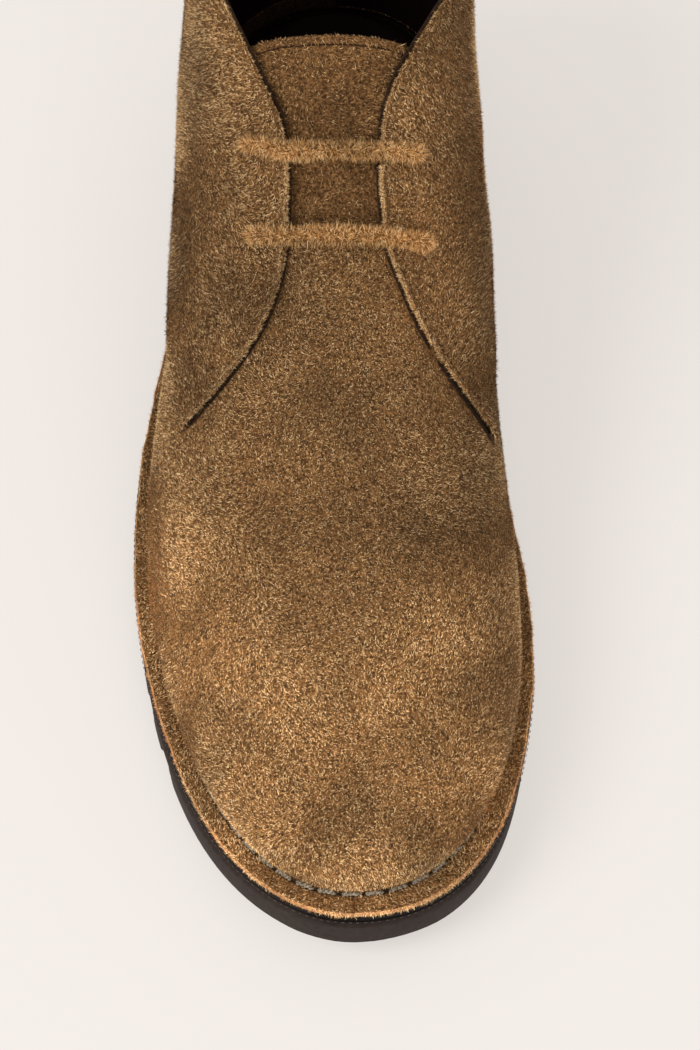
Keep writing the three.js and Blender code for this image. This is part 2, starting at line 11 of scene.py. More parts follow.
import bmesh
import bpy
import numpy as np
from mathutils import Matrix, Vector


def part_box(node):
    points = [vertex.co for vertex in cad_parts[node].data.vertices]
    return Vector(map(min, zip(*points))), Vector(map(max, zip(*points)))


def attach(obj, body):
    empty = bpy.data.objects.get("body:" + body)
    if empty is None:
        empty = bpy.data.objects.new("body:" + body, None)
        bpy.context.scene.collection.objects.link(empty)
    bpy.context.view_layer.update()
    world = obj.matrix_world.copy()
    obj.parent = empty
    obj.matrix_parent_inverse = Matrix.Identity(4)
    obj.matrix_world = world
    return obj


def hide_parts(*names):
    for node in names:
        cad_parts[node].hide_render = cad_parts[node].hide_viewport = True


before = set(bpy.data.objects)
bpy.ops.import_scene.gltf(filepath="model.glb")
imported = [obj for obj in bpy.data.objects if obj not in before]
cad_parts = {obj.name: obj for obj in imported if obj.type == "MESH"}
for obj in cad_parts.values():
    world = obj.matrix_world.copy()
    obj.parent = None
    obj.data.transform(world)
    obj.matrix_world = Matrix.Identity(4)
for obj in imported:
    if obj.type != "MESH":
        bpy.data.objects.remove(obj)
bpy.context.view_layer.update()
print("nodes:", sorted(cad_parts))

# %% [markdown]
# The last is the wooden foot that a boot is made on. It can be sculpted, or bought as a scan,
# but three lines describe it well enough: the feather line (the outline of its sole), the
# belly line (where its side is fullest) and the ridge over the foot. They are short tables in
# millimetres, read by the distance s forward from the heel, with a smooth curve through the rows.

# %% The last in sections
MM = 0.001
LATERAL, MEDIAL = -1, 1
LAST_LENGTH = 276.0
BELLY_BULGE = 3.0
BALL = {LATERAL: 165.0, MEDIAL: 205.0}
TOE_ROUND = {LATERAL: 2.25, MEDIAL: 2.08}
HEEL_SEAT, HEEL_ROUND = 36.0, 2.2
CROWN_TOE_START, CROWN_TOE_ROUND = 214.0, 2.4
TOE_SWING_START, TOE_SWING_LENGTH, TOE_SWING = 200.0, 80.0, 5.6

LAST = {
    "s":          [0, 36, 60, 83, 108, 125, 145, 165, 185, 205, 230, 255, 279],
    "featherLat": [33, 33, 34.5, 37, 40.2, 42.6, 45.4, 46.4, 46, 45, 43.8, 43.4, 43.4],
    "featherMed": [33, 33, 32.2, 31, 31, 33.3, 37.5, 41.3, 44.2, 45.2, 45, 45, 45],
    "bellyLat":   [36.2, 38.2, 40, 41.6, 42.8, 44.5, 47.6, 49.8, 50, 49.2, 47.8, 47.5, 47.5],
    "bellyMed":   [35.2, 36.2, 37.5, 39.2, 41, 42.6, 44.4, 46.7, 48.7, 49.3, 49.2, 49.2, 49.2],
    "bellyUp":    [30, 34, 36, 35, 30, 25, 19, 15, 13, 12, 11, 10, 10],
    "ridge":      [160, 218, 174, 136, 104.7, 90.2, 78, 69, 62, 56.5, 51, 47, 45],
    "across":     [2.2, 2.2, 2.2, 2.2, 2.1, 2, 2, 2, 2, 2.05, 2.1, 2.15, 2.15],
    "over":       [2.2, 2.2, 2.2, 2.3, 2.3, 2.25, 2.1, 2.05, 2.05, 2.1, 2.15, 2.2, 2.2],
}
GROUND = {
    "s":      [-10, 40, 70, 110, 150, 168, 205, 240, 262, 285],
    "bed":    [26.2, 25.6, 24.5, 19.8, 14.4, 12.5, 12.5, 14.8, 17.4, 20.6],
    "margin": [4.5, 4.6, 4.8, 6, 7.6, 7.8, 8, 7.6, 8, 8.2],
    "proud":  [0.6, 0.4, 0.1, -0.2, -0.3, -0.3, 0, 1.5, 1.8, 1.8],
    "medial_in": [0, 0, 0, 0, 0, 0, 0.6, 1.7, 1.2, 0.0],
    "rubber": [6, 6, 6.2, 7.4, 9.6, 10, 10, 9.6, 9.4, 9],
}


def follow(table, column, s):
    """A smooth curve through one column of a table."""
    xs = np.asarray(table["s"], float)
    ys = np.asarray(table[column], float)
    s = np.asarray(s, float)
    run = np.diff(xs)
    slope = np.diff(ys) / run
    inner = (slope[:-1] * run[1:] + slope[1:] * run[:-1]) / (run[1:] + run[:-1])
    bend = np.concatenate(([slope[0]], inner, [slope[-1]]))
    i = np.clip(np.searchsorted(xs, s) - 1, 0, len(xs) - 2)
    t = np.clip((s - xs[i]) / run[i], 0, 1)
    start = (2 * t**3 - 3 * t**2 + 1) * ys[i] + (t**3 - 2 * t**2 + t) * run[i] * bend[i]
    return start + (3 * t**2 - 2 * t**3) * ys[i + 1] + (t**3 - t**2) * run[i] * bend[i + 1]


def round_off(t, roundness):
    """A quarter of a squarish ellipse: 1 at t = 0, closing to 0 at t = 1."""
    return np.clip(1 - np.clip(t, 0, 1) ** roundness, 0, 1) ** (1 / roundness)


def bed(s):
    return follow(GROUND, "bed", s)


def belly_up(s):
    return follow(LAST, "bellyUp", s)


def middle(s):
    return TOE_SWING * np.clip((np.asarray(s, float) - TOE_SWING_START) / TOE_SWING_LENGTH, 0, 1) ** 2


def half_width(side, s, level, grow=0.0):
    """Half width in plan: level 0 is the feather line, level 1 the belly line."""
    name = "Lat" if side == LATERAL else "Med"
    feather = follow(LAST, "feather" + name, s)
    belly = follow(LAST, "belly" + name, s)
    reach = BELLY_BULGE * level + grow
    toe = round_off((s - BALL[side]) / (LAST_LENGTH + reach - BALL[side]), TOE_ROUND[side])
    heel = round_off((HEEL_SEAT - s) / (HEEL_SEAT + reach), HEEL_ROUND)
    return (feather + (belly - feather) * level + grow) * toe * heel


def crown(s):
    """Height of the ridge above the belly line."""
    toe = round_off((s - CROWN_TOE_START) / (LAST_LENGTH + BELLY_BULGE - CROWN_TOE_START), CROWN_TOE_ROUND)
    heel = round_off((HEEL_SEAT - s) / (HEEL_SEAT + BELLY_BULGE), HEEL_ROUND)
    return (follow(LAST, "ridge", s) - bed(s) - belly_up(s)) * toe * heel


def side_x(side, s, z):
    """How far the last reaches to one side at a height z."""
    low = np.clip((z - bed(s)) / belly_up(s), 0, 1)
    level = 1 - (1 - low) ** 2
    rise = np.clip((z - bed(s) - belly_up(s)) / np.maximum(crown(s), 1e-6), 0, 1)
    inward = (1 - rise ** follow(LAST, "over", s)) ** (1 / follow(LAST, "across", s))
    return middle(s) + side * half_width(side, s, level) * inward


def top_height(x, s):
    """Height of the last over a plan point."""
    x, s = np.broadcast_arrays(np.asarray(x, float), np.asarray(s, float))
    off = x - middle(s)
    half = np.where(off < 0, half_width(LATERAL, s, 1), half_width(MEDIAL, s, 1))
    out = np.clip(np.abs(off) / np.maximum(half, 1e-6), 0, 1)
    rise = (1 - out ** follow(LAST, "across", s)) ** (1 / follow(LAST, "over", s))
    return bed(s) + belly_up(s) + crown(s) * rise


BALL_LINE = 180.0
ball_width = float(half_width(LATERAL, BALL_LINE, 0) + half_width(MEDIAL, BALL_LINE, 0))
print("last:", LAST_LENGTH, "mm long, ball", round(ball_width), "mm wide")

# %% [markdown]
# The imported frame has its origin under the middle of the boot, while the last is measured from
# the heel. The outsole's box says where the one lies in the other, so nothing is fitted by eye.

# %% From the last to the frame
BEHIND_HEEL, PAST_TOE = -4.0, 284.0


def sole_edge(s):
    return follow(GROUND, "margin", s) + follow(GROUND, "proud", s)


def side_edge(side):
    """The rubber's edge on one side; the inner side is trimmed closer beside the big toe."""
    return lambda s: sole_edge(s) - (follow(GROUND, "medial_in", s) if side == MEDIAL else 0)


def edge_ends(edge):
    """How far an outline with that edge reaches past the feather line, at heel and toe."""
    return float(edge(BEHIND_HEEL)), float(edge(PAST_TOE))


def outline_half(side, s, edge, grow=0.0):
    """Half width of a sole layer whose edge lies edge(s) outside the feather line."""
    heel_reach, toe_reach = edge_ends(edge)
    feather = follow(LAST, "featherLat" if side == LATERAL else "featherMed", s)
    toe = round_off((s - BALL[side]) / (LAST_LENGTH + toe_reach + grow - BALL[side]), TOE_ROUND[side])
    heel = round_off((HEEL_SEAT - s) / (HEEL_SEAT + heel_reach + grow), HEEL_ROUND)
    return (feather + edge(s) + grow) * toe * heel


sole_low, sole_high = (np.array(corner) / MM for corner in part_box("outsole"))
widest = np.linspace(100, 240, 2000)
widths = {side: float(np.max(outline_half(side, widest, sole_edge) + side * middle(widest)))
          for side in (LATERAL, MEDIAL)}
S_ORIGIN = LAST_LENGTH + edge_ends(sole_edge)[1] + sole_low[1]
X_ORIGIN = (widths[MEDIAL] - widths[LATERAL]) / 2 - (sole_low[0] + sole_high[0]) / 2


def place(points):
    """Points in the last's (x, -s, z) millimetres, moved into the frame in metres."""
    return (np.asarray(points, float) - [X_ORIGIN, -S_ORIGIN, 0]) * MM


print("origin at s =", round(S_ORIGIN, 2), "x =", round(X_ORIGIN, 2))

# %% [markdown]
# The camera stands in front of the toe and looks down at the boot from 60 degrees, from about
# a metre away, so the far ankle is drawn a little smaller than the near toe. The aim is a point
# over the instep; the lens is long, as for a catalogue view. The camera comes first. Colours are
# shown plainly, without a film curve.

# %% Camera
CAMERA_UP = math.radians(60)
CAMERA_FAR = 1.0
LENS = 127.2
AIM = Vector(place([4.3, -170.4, 23.5]))

camera_data = bpy.data.cameras.new("catalogue_lens")
camera_data.lens = LENS
camera_data.sensor_width = 36.0
camera = bpy.data.objects.new("catalogue_camera", camera_data)
bpy.context.scene.collection.objects.link(camera)
camera.location = AIM + CAMERA_FAR * Vector((0, -math.cos(CAMERA_UP), math.sin(CAMERA_UP)))
camera.rotation_euler = (math.pi / 2 - CAMERA_UP, 0, 0)
bpy.context.scene.camera = camera
bpy.context.scene.view_settings.view_transform = "Standard"
print("camera at", [round(c, 3) for c in camera.location])

# %% [markdown]
# A studio for small goods is a pale sweep of paper with big soft lights. The floor is one large
# sheet that is lit through from below, like a light table, which keeps the shadows faint, and
# the world gives the even fill light. One large lamp stands high on the left and a little in
# front, so that the nap is lit across its lie; a weaker one opens the near toe wall.

# %% Floor and light
def srgb(red, green, blue):
    """A paint-chart colour, 0 to 255, as the linear numbers that shaders use."""
    channels = np.array([red, green, blue]) / 255
    linear = np.where(channels <= 0.04045, channels / 12.92, ((channels + 0.055) / 1.055) ** 2.4)
    return (*[float(c) for c in linear], 1.0)


def mesh_object(name, vertices, faces, smooth=True):
    """A mesh object from points in the frame and face index lists."""
    mesh = bpy.data.meshes.new(name)
    mesh.from_pydata([tuple(v) for v in vertices], [], [tuple(int(k) for k in f) for f in faces])
    mesh.validate()
    mesh.shade_smooth() if smooth else mesh.shade_flat()
    piece = bpy.data.objects.new(name, mesh)
    bpy.context.scene.collection.objects.link(piece)
    return piece


def plain_material(name, color, roughness):
    material = bpy.data.materials.new(name)
    material.use_nodes = True
    shader = material.node_tree.nodes["Principled BSDF"]
    shader.inputs["Base Color"].default_value = color
    shader.inputs["Roughness"].default_value = roughness
    return material


FLOOR_HALF = 3.0
PAPER_GLOW, FILL_LIGHT = 0.63, 0.6
floor_corners = [(x * FLOOR_HALF, y * FLOOR_HALF, 0) for x, y in ((-1, -1), (1, -1), (1, 1), (-1, 1))]
floor = mesh_object("paper_floor", floor_corners, [(0, 1, 2, 3)])
floor.data.materials.append(plain_material("paper", srgb(150, 147, 145), 0.9))
paper = floor.data.materials[0].node_tree.nodes["Principled BSDF"]
paper.inputs["Emission Color"].default_value = srgb(242, 235, 229)
paper.inputs["Emission Strength"].default_value = PAPER_GLOW

world = bpy.data.worlds.new("studio")
bpy.context.scene.world = world
world.use_nodes = True
world.node_tree.nodes["Background"].inputs["Color"].default_value = (1.0, 0.985, 0.97, 1)
world.node_tree.nodes["Background"].inputs["Strength"].default_value = FILL_LIGHT


def softbox(name, spot, size, watts, target):
    lamp = bpy.data.lights.new(name, "AREA")
    lamp.shape = "DISK"
    lamp.size = size
    lamp.energy = watts
    holder = bpy.data.objects.new(name, lamp)
    bpy.context.scene.collection.objects.link(holder)
    holder.location = spot
    holder.rotation_euler = (Vector(target) - Vector(spot)).to_track_quat("-Z", "Y").to_euler()
    return holder


softbox("key_softbox", (-1.6, -0.8, 2.0), 1.5, 36, (0, 0, 0.05))
softbox("front_softbox", (0.5, -2.0, 1.7), 1.5, 17, (0, -0.05, 0.03))
print("studio ready")

# %% [markdown]
# Suede is the flesh side of the hide, sanded until its fibres stand up as a nap. Seen close, it
# has no gloss at all: dark gaps, pale fibre tips, and broad patches where the nap lies another
# way. The ground below the fibres gets those patches and a fine grain from noise textures on
# the boot's own coordinates, so the nap standing on it can share the same patches. A few soft
# round areas are painted paler or darker over both: partly the nap's lie, partly painted light,
# paler on the toe and on the sides of the vamp where the lamps fall.

# %% Material helpers
def new_material(name, roughness, **sockets):
    material = bpy.data.materials.new(name)
    material.use_nodes = True
    shader = material.node_tree.nodes["Principled BSDF"]
    shader.inputs["Roughness"].default_value = roughness
    for socket, value in sockets.items():
        shader.inputs[socket.replace("_", " ")].default_value = value
    return material, material.node_tree, shader


def noise(tree, scale, detail=2.0, stretch=(1, 1, 1), turn=(0, 0, 0)):
    """Noise on the boot's own coordinates, in features per metre."""
    coordinates = tree.nodes.new("ShaderNodeTexCoord")
    mapping = tree.nodes.new("ShaderNodeMapping")
    mapping.inputs["Scale"].default_value = stretch
    mapping.inputs["Rotation"].default_value = turn
    texture = tree.nodes.new("ShaderNodeTexNoise")
    texture.inputs["Scale"].default_value = scale
    texture.inputs["Detail"].default_value = detail
    tree.links.new(coordinates.outputs["Object"], mapping.inputs["Vector"])
    tree.links.new(mapping.outputs["Vector"], texture.inputs["Vector"])
    return texture.outputs["Fac"]


def ramp(tree, factor, stops):
    """Colours along a 0 to 1 value."""
    ramp_node = tree.nodes.new("ShaderNodeValToRGB")
    elements = ramp_node.color_ramp.elements
    while len(elements) < len(stops):
        elements.new(0.5)
    for element, (position, color) in zip(elements, stops):
        element.position = position
        element.color = color
    tree.links.new(factor, ramp_node.inputs["Fac"])
    return ramp_node.outputs["Color"]


def mixed(tree, kind, factor, first, second):
    mix = tree.nodes.new("ShaderNodeMix")
    mix.data_type = "RGBA"
    mix.blend_type = kind
    if isinstance(factor, float):
        mix.inputs["Factor"].default_value = factor
    else:
        tree.links.new(factor, mix.inputs["Factor"])
    tree.links.new(first, mix.inputs["A"])
    tree.links.new(second, mix.inputs["B"])
    return mix.outputs["Result"]


def bump(tree, shader, height, distance, strength):
    node = tree.nodes.new("ShaderNodeBump")
    node.inputs["Distance"].default_value = distance
    node.inputs["Strength"].default_value = strength
    tree.links.new(height, node.inputs["Height"])
    tree.links.new(node.outputs["Normal"], shader.inputs["Normal"])


def grey(value):
    return (value, value, value, 1.0)


print("material helpers ready")

# %% Suede
PATCH_SCALE = 34.0


# Partly the nap's lie and partly painted light: the toe and both sides of the vamp are painted paler where the
# lamps fall on them.
LIT_AND_BRUSHED_AREAS = [  # centre in metres, radius, how much lighter or darker the nap lies there
    ((-0.048, -0.070, 0.030), 0.060, 1.5), ((0.000, -0.130, 0.030), 0.085, 1.55),
    ((0.050, -0.085, 0.030), 0.050, 1.35), ((-0.020, 0.035, 0.090), 0.045, 0.9),
    ((0.036, 0.030, 0.080), 0.050, 1.2),
]


def patches(tree, color, dark, light):
    """Broad soft patches over a colour, and the round areas painted paler or darker, partly painted light."""
    broad = noise(tree, PATCH_SCALE, 3.0)
    shade = ramp(tree, broad, [(0.34, grey(dark)), (0.5, grey(1.0)), (0.68, grey(light))])
    color = mixed(tree, "MULTIPLY", 1.0, color, shade)
    for centre, radius, tone in LIT_AND_BRUSHED_AREAS:
        coordinates = tree.nodes.new("ShaderNodeTexCoord")
        mapping = tree.nodes.new("ShaderNodeMapping")
        mapping.vector_type = "TEXTURE"
        mapping.inputs["Location"].default_value = centre
        mapping.inputs["Scale"].default_value = (radius, radius, radius)
        ball = tree.nodes.new("ShaderNodeTexGradient")
        ball.gradient_type = "SPHERICAL"
        tree.links.new(coordinates.outputs["Object"], mapping.inputs["Vector"])
        tree.links.new(mapping.outputs["Vector"], ball.inputs["Vector"])
        area = ramp(tree, ball.outputs["Fac"], [(0.0, grey(1.0)), (0.65, grey(tone))])
        color = mixed(tree, "MULTIPLY", 1.0, color, area)
    return color


def suede_material(name, deep, fair):
    """The ground under the nap."""
    material, tree, shader = new_material(name, 0.95, Sheen_Weight=0.1, Sheen_Roughness=0.6,
                                          Sheen_Tint=srgb(214, 178, 130), Specular_IOR_Level=0.12)
    grain = noise(tree, 1500.0, 2.0)
    clumps = noise(tree, 420.0, 2.0)
    color = ramp(tree, grain, [(0.36, deep), (0.62, fair)])
    color = mixed(tree, "MULTIPLY", 1.0, color, ramp(tree, clumps, [(0.35, grey(0.78)), (0.65, grey(1.15))]))
    tree.links.new(patches(tree, color, 0.7, 1.22), shader.inputs["Base Color"])
    bump(tree, shader, mixed(tree, "ADD", 1.0, grain, clumps), 0.0005, 0.9)
    return material


def fibre_material(name, root, tip):
    """One shade of the fibres that stand on the ground."""
    material, tree, shader = new_material(name, 0.9, Sheen_Weight=0.05, Sheen_Roughness=0.5,
                                          Sheen_Tint=srgb(226, 192, 146), Specular_IOR_Level=0.15)
    color = ramp(tree, noise(tree, 900.0, 1.0), [(0.4, root), (0.6, tip)])
    tree.links.new(patches(tree, color, 0.7, 1.22), shader.inputs["Base Color"])
    return material


suede = suede_material("suede_ground", srgb(58, 38, 20), srgb(124, 87, 50))
raw_edge = suede_material("suede_cut_edge", srgb(124, 84, 52), srgb(184, 134, 90))
# The dark inside suede is the real flesh side, and also painted shade: the vamp's crease rows, the tongue's
# groove and the strips along the throat.
inside_and_shade_suede = suede_material("suede_inside_and_painted_shade", srgb(28, 16, 10), srgb(52, 33, 20))
fibres = [fibre_material("nap_dark", srgb(68, 44, 23), srgb(102, 71, 40)),
          fibre_material("nap_tan", srgb(160, 120, 76), srgb(194, 152, 102)),
          fibre_material("nap_pale", srgb(220, 180, 124), srgb(244, 212, 160))]
print("suede:", len(fibres), "shades of nap")

# %% [markdown]
# The dark parts are simpler. The outsole is brown rubber, matt with a faint moulded skin; the
# scoops between its lugs are painted pale grey, a painted highlight where their faces turn up to
# the light. The midsole is nearly black and smoother. The lining is dark burgundy leather with a
# fine pebble.

# %% Rubber, lining and thread
def rubber_material(name, dark, light, roughness, grain_scale):
    material, tree, shader = new_material(name, roughness, Specular_IOR_Level=0.2)
    skin = noise(tree, grain_scale, 3.0)
    dust = noise(tree, 60.0, 4.0)
    color = ramp(tree, skin, [(0.3, dark), (0.7, light)])
    color = mixed(tree, "MULTIPLY", 1.0, color, ramp(tree, dust, [(0.35, grey(0.88)), (0.7, grey(1.14))]))
    tree.links.new(color, shader.inputs["Base Color"])
    bump(tree, shader, skin, 0.0002, 0.35)
    return material


rubber = rubber_material("brown_rubber", srgb(46, 37, 33), srgb(58, 48, 43), 0.8, 700.0)
scoop_highlight_rubber = rubber_material("scooped_rubber_painted_highlight", srgb(104, 107, 111), srgb(140, 144, 149), 0.8, 900.0)
midsole_rubber = rubber_material("midsole_black", srgb(18, 15, 14), srgb(28, 23, 21), 0.55, 1100.0)
lining_leather = rubber_material("lining_leather", srgb(18, 6, 7), srgb(34, 11, 12), 0.6, 1300.0)

thread, thread_tree, thread_shader = new_material("waxed_thread", 0.6, Specular_IOR_Level=0.3)
twisted = noise(thread_tree, 1800.0, 1.0)
ply = ramp(thread_tree, twisted, [(0.35, srgb(96, 84, 68)), (0.65, srgb(184, 170, 146))])
thread_tree.links.new(ply, thread_shader.inputs["Base Color"])
bump(thread_tree, thread_shader, noise(thread_tree, 2600.0, 1.0), 0.0001, 0.5)

fine_thread, _, _ = new_material("fine_thread", 0.7, Base_Color=srgb(98, 86, 76), Specular_IOR_Level=0.3)

lace_ground = suede_material("lace_ground", srgb(92, 59, 29), srgb(166, 118, 66))
lace_fibres = [fibre_material("lace_nap_brown", srgb(88, 56, 27), srgb(126, 86, 45)),
               fibre_material("lace_nap_tan", srgb(196, 144, 86), srgb(228, 176, 112)),
               fibre_material("lace_nap_pale", srgb(236, 190, 128), srgb(252, 216, 160))]
print("materials:", len(bpy.data.materials))

# %% [markdown]
# Leather pieces are sheets. Each is laid out as a grid of points on the last, rows by columns,
# and a Solidify modifier gives it its thickness inwards, with the cut edge as a separate
# material. A grid costs more points than a sculpt, but its edges follow the seams exactly.

# %% Sheets of leather
def grid_object(name, grid, materials, keep=None, slots=None, flip=False, solid=False):
    """A sheet from a grid of points in the last's millimetres; keep and slots go by its faces."""
    rows, columns = grid.shape[:2]
    index = np.arange(rows * columns).reshape(rows, columns)
    quads = np.stack([index[:-1, :-1], index[:-1, 1:], index[1:, 1:], index[1:, :-1]], axis=-1)
    keep = np.ones(quads.shape[:2], bool) if keep is None else keep
    slots = np.zeros(quads.shape[:2], int) if slots is None else slots
    faces = quads[keep][:, ::-1] if flip else quads[keep]
    piece = mesh_object(name, place(grid.reshape(-1, 3)), faces)
    for material in materials:
        piece.data.materials.append(material)
    piece.data.polygons.foreach_set("material_index", slots[keep].astype(np.int32))
    return welded(piece, solid=solid)


def welded(piece, distance=2e-6, solid=False):
    """Joins points that coincide, drops points that no face uses, and turns a solid's faces out."""
    shape = bmesh.new()
    shape.from_mesh(piece.data)
    bmesh.ops.remove_doubles(shape, verts=shape.verts, dist=distance)
    bmesh.ops.dissolve_degenerate(shape, edges=shape.edges, dist=distance)
    if solid:
        bmesh.ops.holes_fill(shape, edges=[e for e in shape.edges if e.is_boundary], sides=0)
        bmesh.ops.recalc_face_normals(shape, faces=shape.faces)
    bmesh.ops.delete(shape, geom=[v for v in shape.verts if not v.link_faces], context="VERTS")
    shape.to_mesh(piece.data)
    shape.free()
    piece.data.shade_smooth()
    return piece


def thicken(piece, thickness, edge_slot=0, inside_slot=0):
    """Real thickness, inwards from the drawn side."""
    modifier = piece.modifiers.new("thickness", "SOLIDIFY")
    modifier.thickness = thickness * MM
    modifier.offset = -1
    modifier.material_offset_rim = edge_slot
    modifier.material_offset = inside_slot


def baked(piece):
    """The piece with its modifiers made real."""
    graph = bpy.context.evaluated_depsgraph_get()
    mesh = bpy.data.meshes.new_from_object(piece.evaluated_get(graph))
    piece.modifiers.clear()
    piece.data = mesh
    return piece


def grid_normals(grid, outward):
    """Unit normals of a grid, turned to the side where they agree with outward."""
    normals = np.cross(np.gradient(grid, axis=0), np.gradient(grid, axis=1))
    normals /= np.maximum(np.linalg.norm(normals, axis=-1, keepdims=True), 1e-9)
    middle_row, middle_column = grid.shape[0] // 2, grid.shape[1] // 4
    sign = np.sign(normals[middle_row, middle_column] @ np.array(outward))
    return normals * sign, sign


def on_top(x, s, lift):
    """Points lifted off the last's upper surface, square to it."""
    step = 0.4
    x, s = np.broadcast_arrays(np.asarray(x, float), np.asarray(s, float))
    slope_x = (top_height(x + step, s) - top_height(x - step, s)) / (2 * step)
    slope_s = (top_height(x, s + step) - top_height(x, s - step)) / (2 * step)
    normal = np.stack([-slope_x, slope_s, np.ones_like(slope_x)], axis=-1)
    normal /= np.linalg.norm(normal, axis=-1, keepdims=True)
    return np.stack([x, -s, top_height(x, s)], axis=-1) + normal * np.asarray(lift)[..., None]


def triangles(piece):
    return sum(len(p.vertices) - 2 for p in piece.data.polygons)


print("sheet helpers ready")

# %% [markdown]
# The vamp is one piece of suede: it covers the toes, runs back under the quarters on both
# sides, and its lower edge turns outwards as a flange. It could be cloth-simulated over the
# last, but the turned edge is easier to hold when its section is drawn row by row: cut edge,
# flat flange, a tight crease where the stitches sit, then the wall and the dome over the toes.

# %% The turned-out edge of the vamp
CREASE_OUT = 1.8
FLANGE_SECTION = [  # share of the way from crease (0) to cut edge (1), and height over the bed
    (0.985, 0.15), (1.0, 0.7), (1.0, 1.3), (0.985, 1.72), (0.94, 1.98), (0.86, 2.08), (0.72, 2.06),
    (0.55, 1.98), (0.4, 1.92), (0.28, 1.84), (0.17, 1.66), (0.08, 1.34), (0.0, 1.2),
]
CUT_ROWS, SHADED_CREASE_ROWS = 4, 6
WALL_SECTION = [(1.3, 1.3), (1.7, 0.9), (2.25, 0.55), (3.0, 0.26), (3.8, 0.08), (4.8, 0.0)]


def ripple(s, side):
    """The small unevenness of an edge cut by hand."""
    waves = ((0.14, 3.1, 1), (0.1, 1.37, 2), (0.2, 11.0, 3))
    return sum(depth * np.sin(s / pitch + phase * side) for depth, pitch, phase in waves)


def flange_line(side, fraction, out, height):
    """One row of the flange: a share of the way from the crease to the cut edge."""
    def edge(s):
        return CREASE_OUT + (follow(GROUND, "margin", s) - CREASE_OUT) * out
    heel_reach, toe_reach = edge_ends(edge)
    s = -heel_reach + (LAST_LENGTH + heel_reach + toe_reach) * fraction
    wavy = outline_half(side, s, edge) + ripple(s, side) * out * np.sin(math.pi * fraction)
    lifted = bed(s) + height + 0.12 * out * np.sin(s / 9.0 + side)
    return np.stack([middle(s) + side * wavy, -s, lifted], axis=-1)


def wall_line(side, fraction, height, push):
    """One row of the wall: a height over the bed, pushed out a little by the bend."""
    level = 1 - (1 - np.clip(height / belly_up(LAST_LENGTH * fraction), 0, 1)) ** 2
    reach = BELLY_BULGE * level + push
    s = -reach + (LAST_LENGTH + 2 * reach) * fraction
    return np.stack([middle(s) + side * half_width(side, s, level, push), -s, bed(s) + height], axis=-1)


def band_lines(side, fraction):
    """The rows on one side, from the cut edge up to the belly line."""
    rows = [flange_line(side, fraction, out, height) for out, height in FLANGE_SECTION]
    rows += [wall_line(side, fraction, height, push) for height, push in WALL_SECTION]
    tall = belly_up(LAST_LENGTH * fraction)
    low = WALL_SECTION[-1][0] / tall
    rows += [wall_line(side, fraction, tall * (low + (1 - low) * k / 5), 0.0) for k in range(1, 5)]
    return rows


print("section rows:", len(FLANGE_SECTION) + len(WALL_SECTION) + 4)

# %% [markdown]
# Worn suede is never a bare mould of the last. The vamp bends where the toes bend, so soft
# troughs and ridges lie across and beside the joint, and the throat corners pull small folds.
# They are listed one by one, each with its place, its size and its depth in millimetres.

# %% The vamp with its creases
VAMP_EDGE = 121.5
VAMP_UNDER = 127.0
VAMP_TALL = {"s": [60, 82, 101, 121], "up": [5, 12, 30, 44]}  # how high it runs up inside the quarters
VAMP_THICK = 1.65
HIDDEN_TURN = 27
THROAT_HALF = 20.0
DOME_COLUMNS = 88
VAMP_CREASES = [  # x, s, size along the boot, size across, turn, height
    (0, 178, 8, 40, 0.0, -0.55), (-12, 191, 7, 28, 0.16, 0.4), (16, 165, 7, 26, -0.3, 0.45),
    (23, 149, 4.5, 18, -0.6, 0.6), (29, 153, 4, 17, -0.75, -0.6), (-26, 166, 6, 18, 0.5, -0.5),
    (-33, 187, 8, 15, 0.9, 0.4), (30, 193, 9, 17, -0.7, -0.45), (4, 222, 12, 26, 0.1, 0.35),
    (-8, 246, 9, 20, -0.1, -0.35), (18, 233, 8, 13, 0.4, -0.35), (0, 137, 5, 14, 0.0, -0.35),
]


def worn(x, s, creases):
    """How far worn leather stands off or sinks, in millimetres."""
    total = np.zeros_like(x)
    for place_x, place_s, along, across, turn, height in creases:
        u = (x - place_x) * math.cos(turn) + (s - place_s) * math.sin(turn)
        v = (s - place_s) * math.cos(turn) - (x - place_x) * math.sin(turn)
        total += height * np.exp(-((u / across) ** 2) - (v / along) ** 2)
    return total


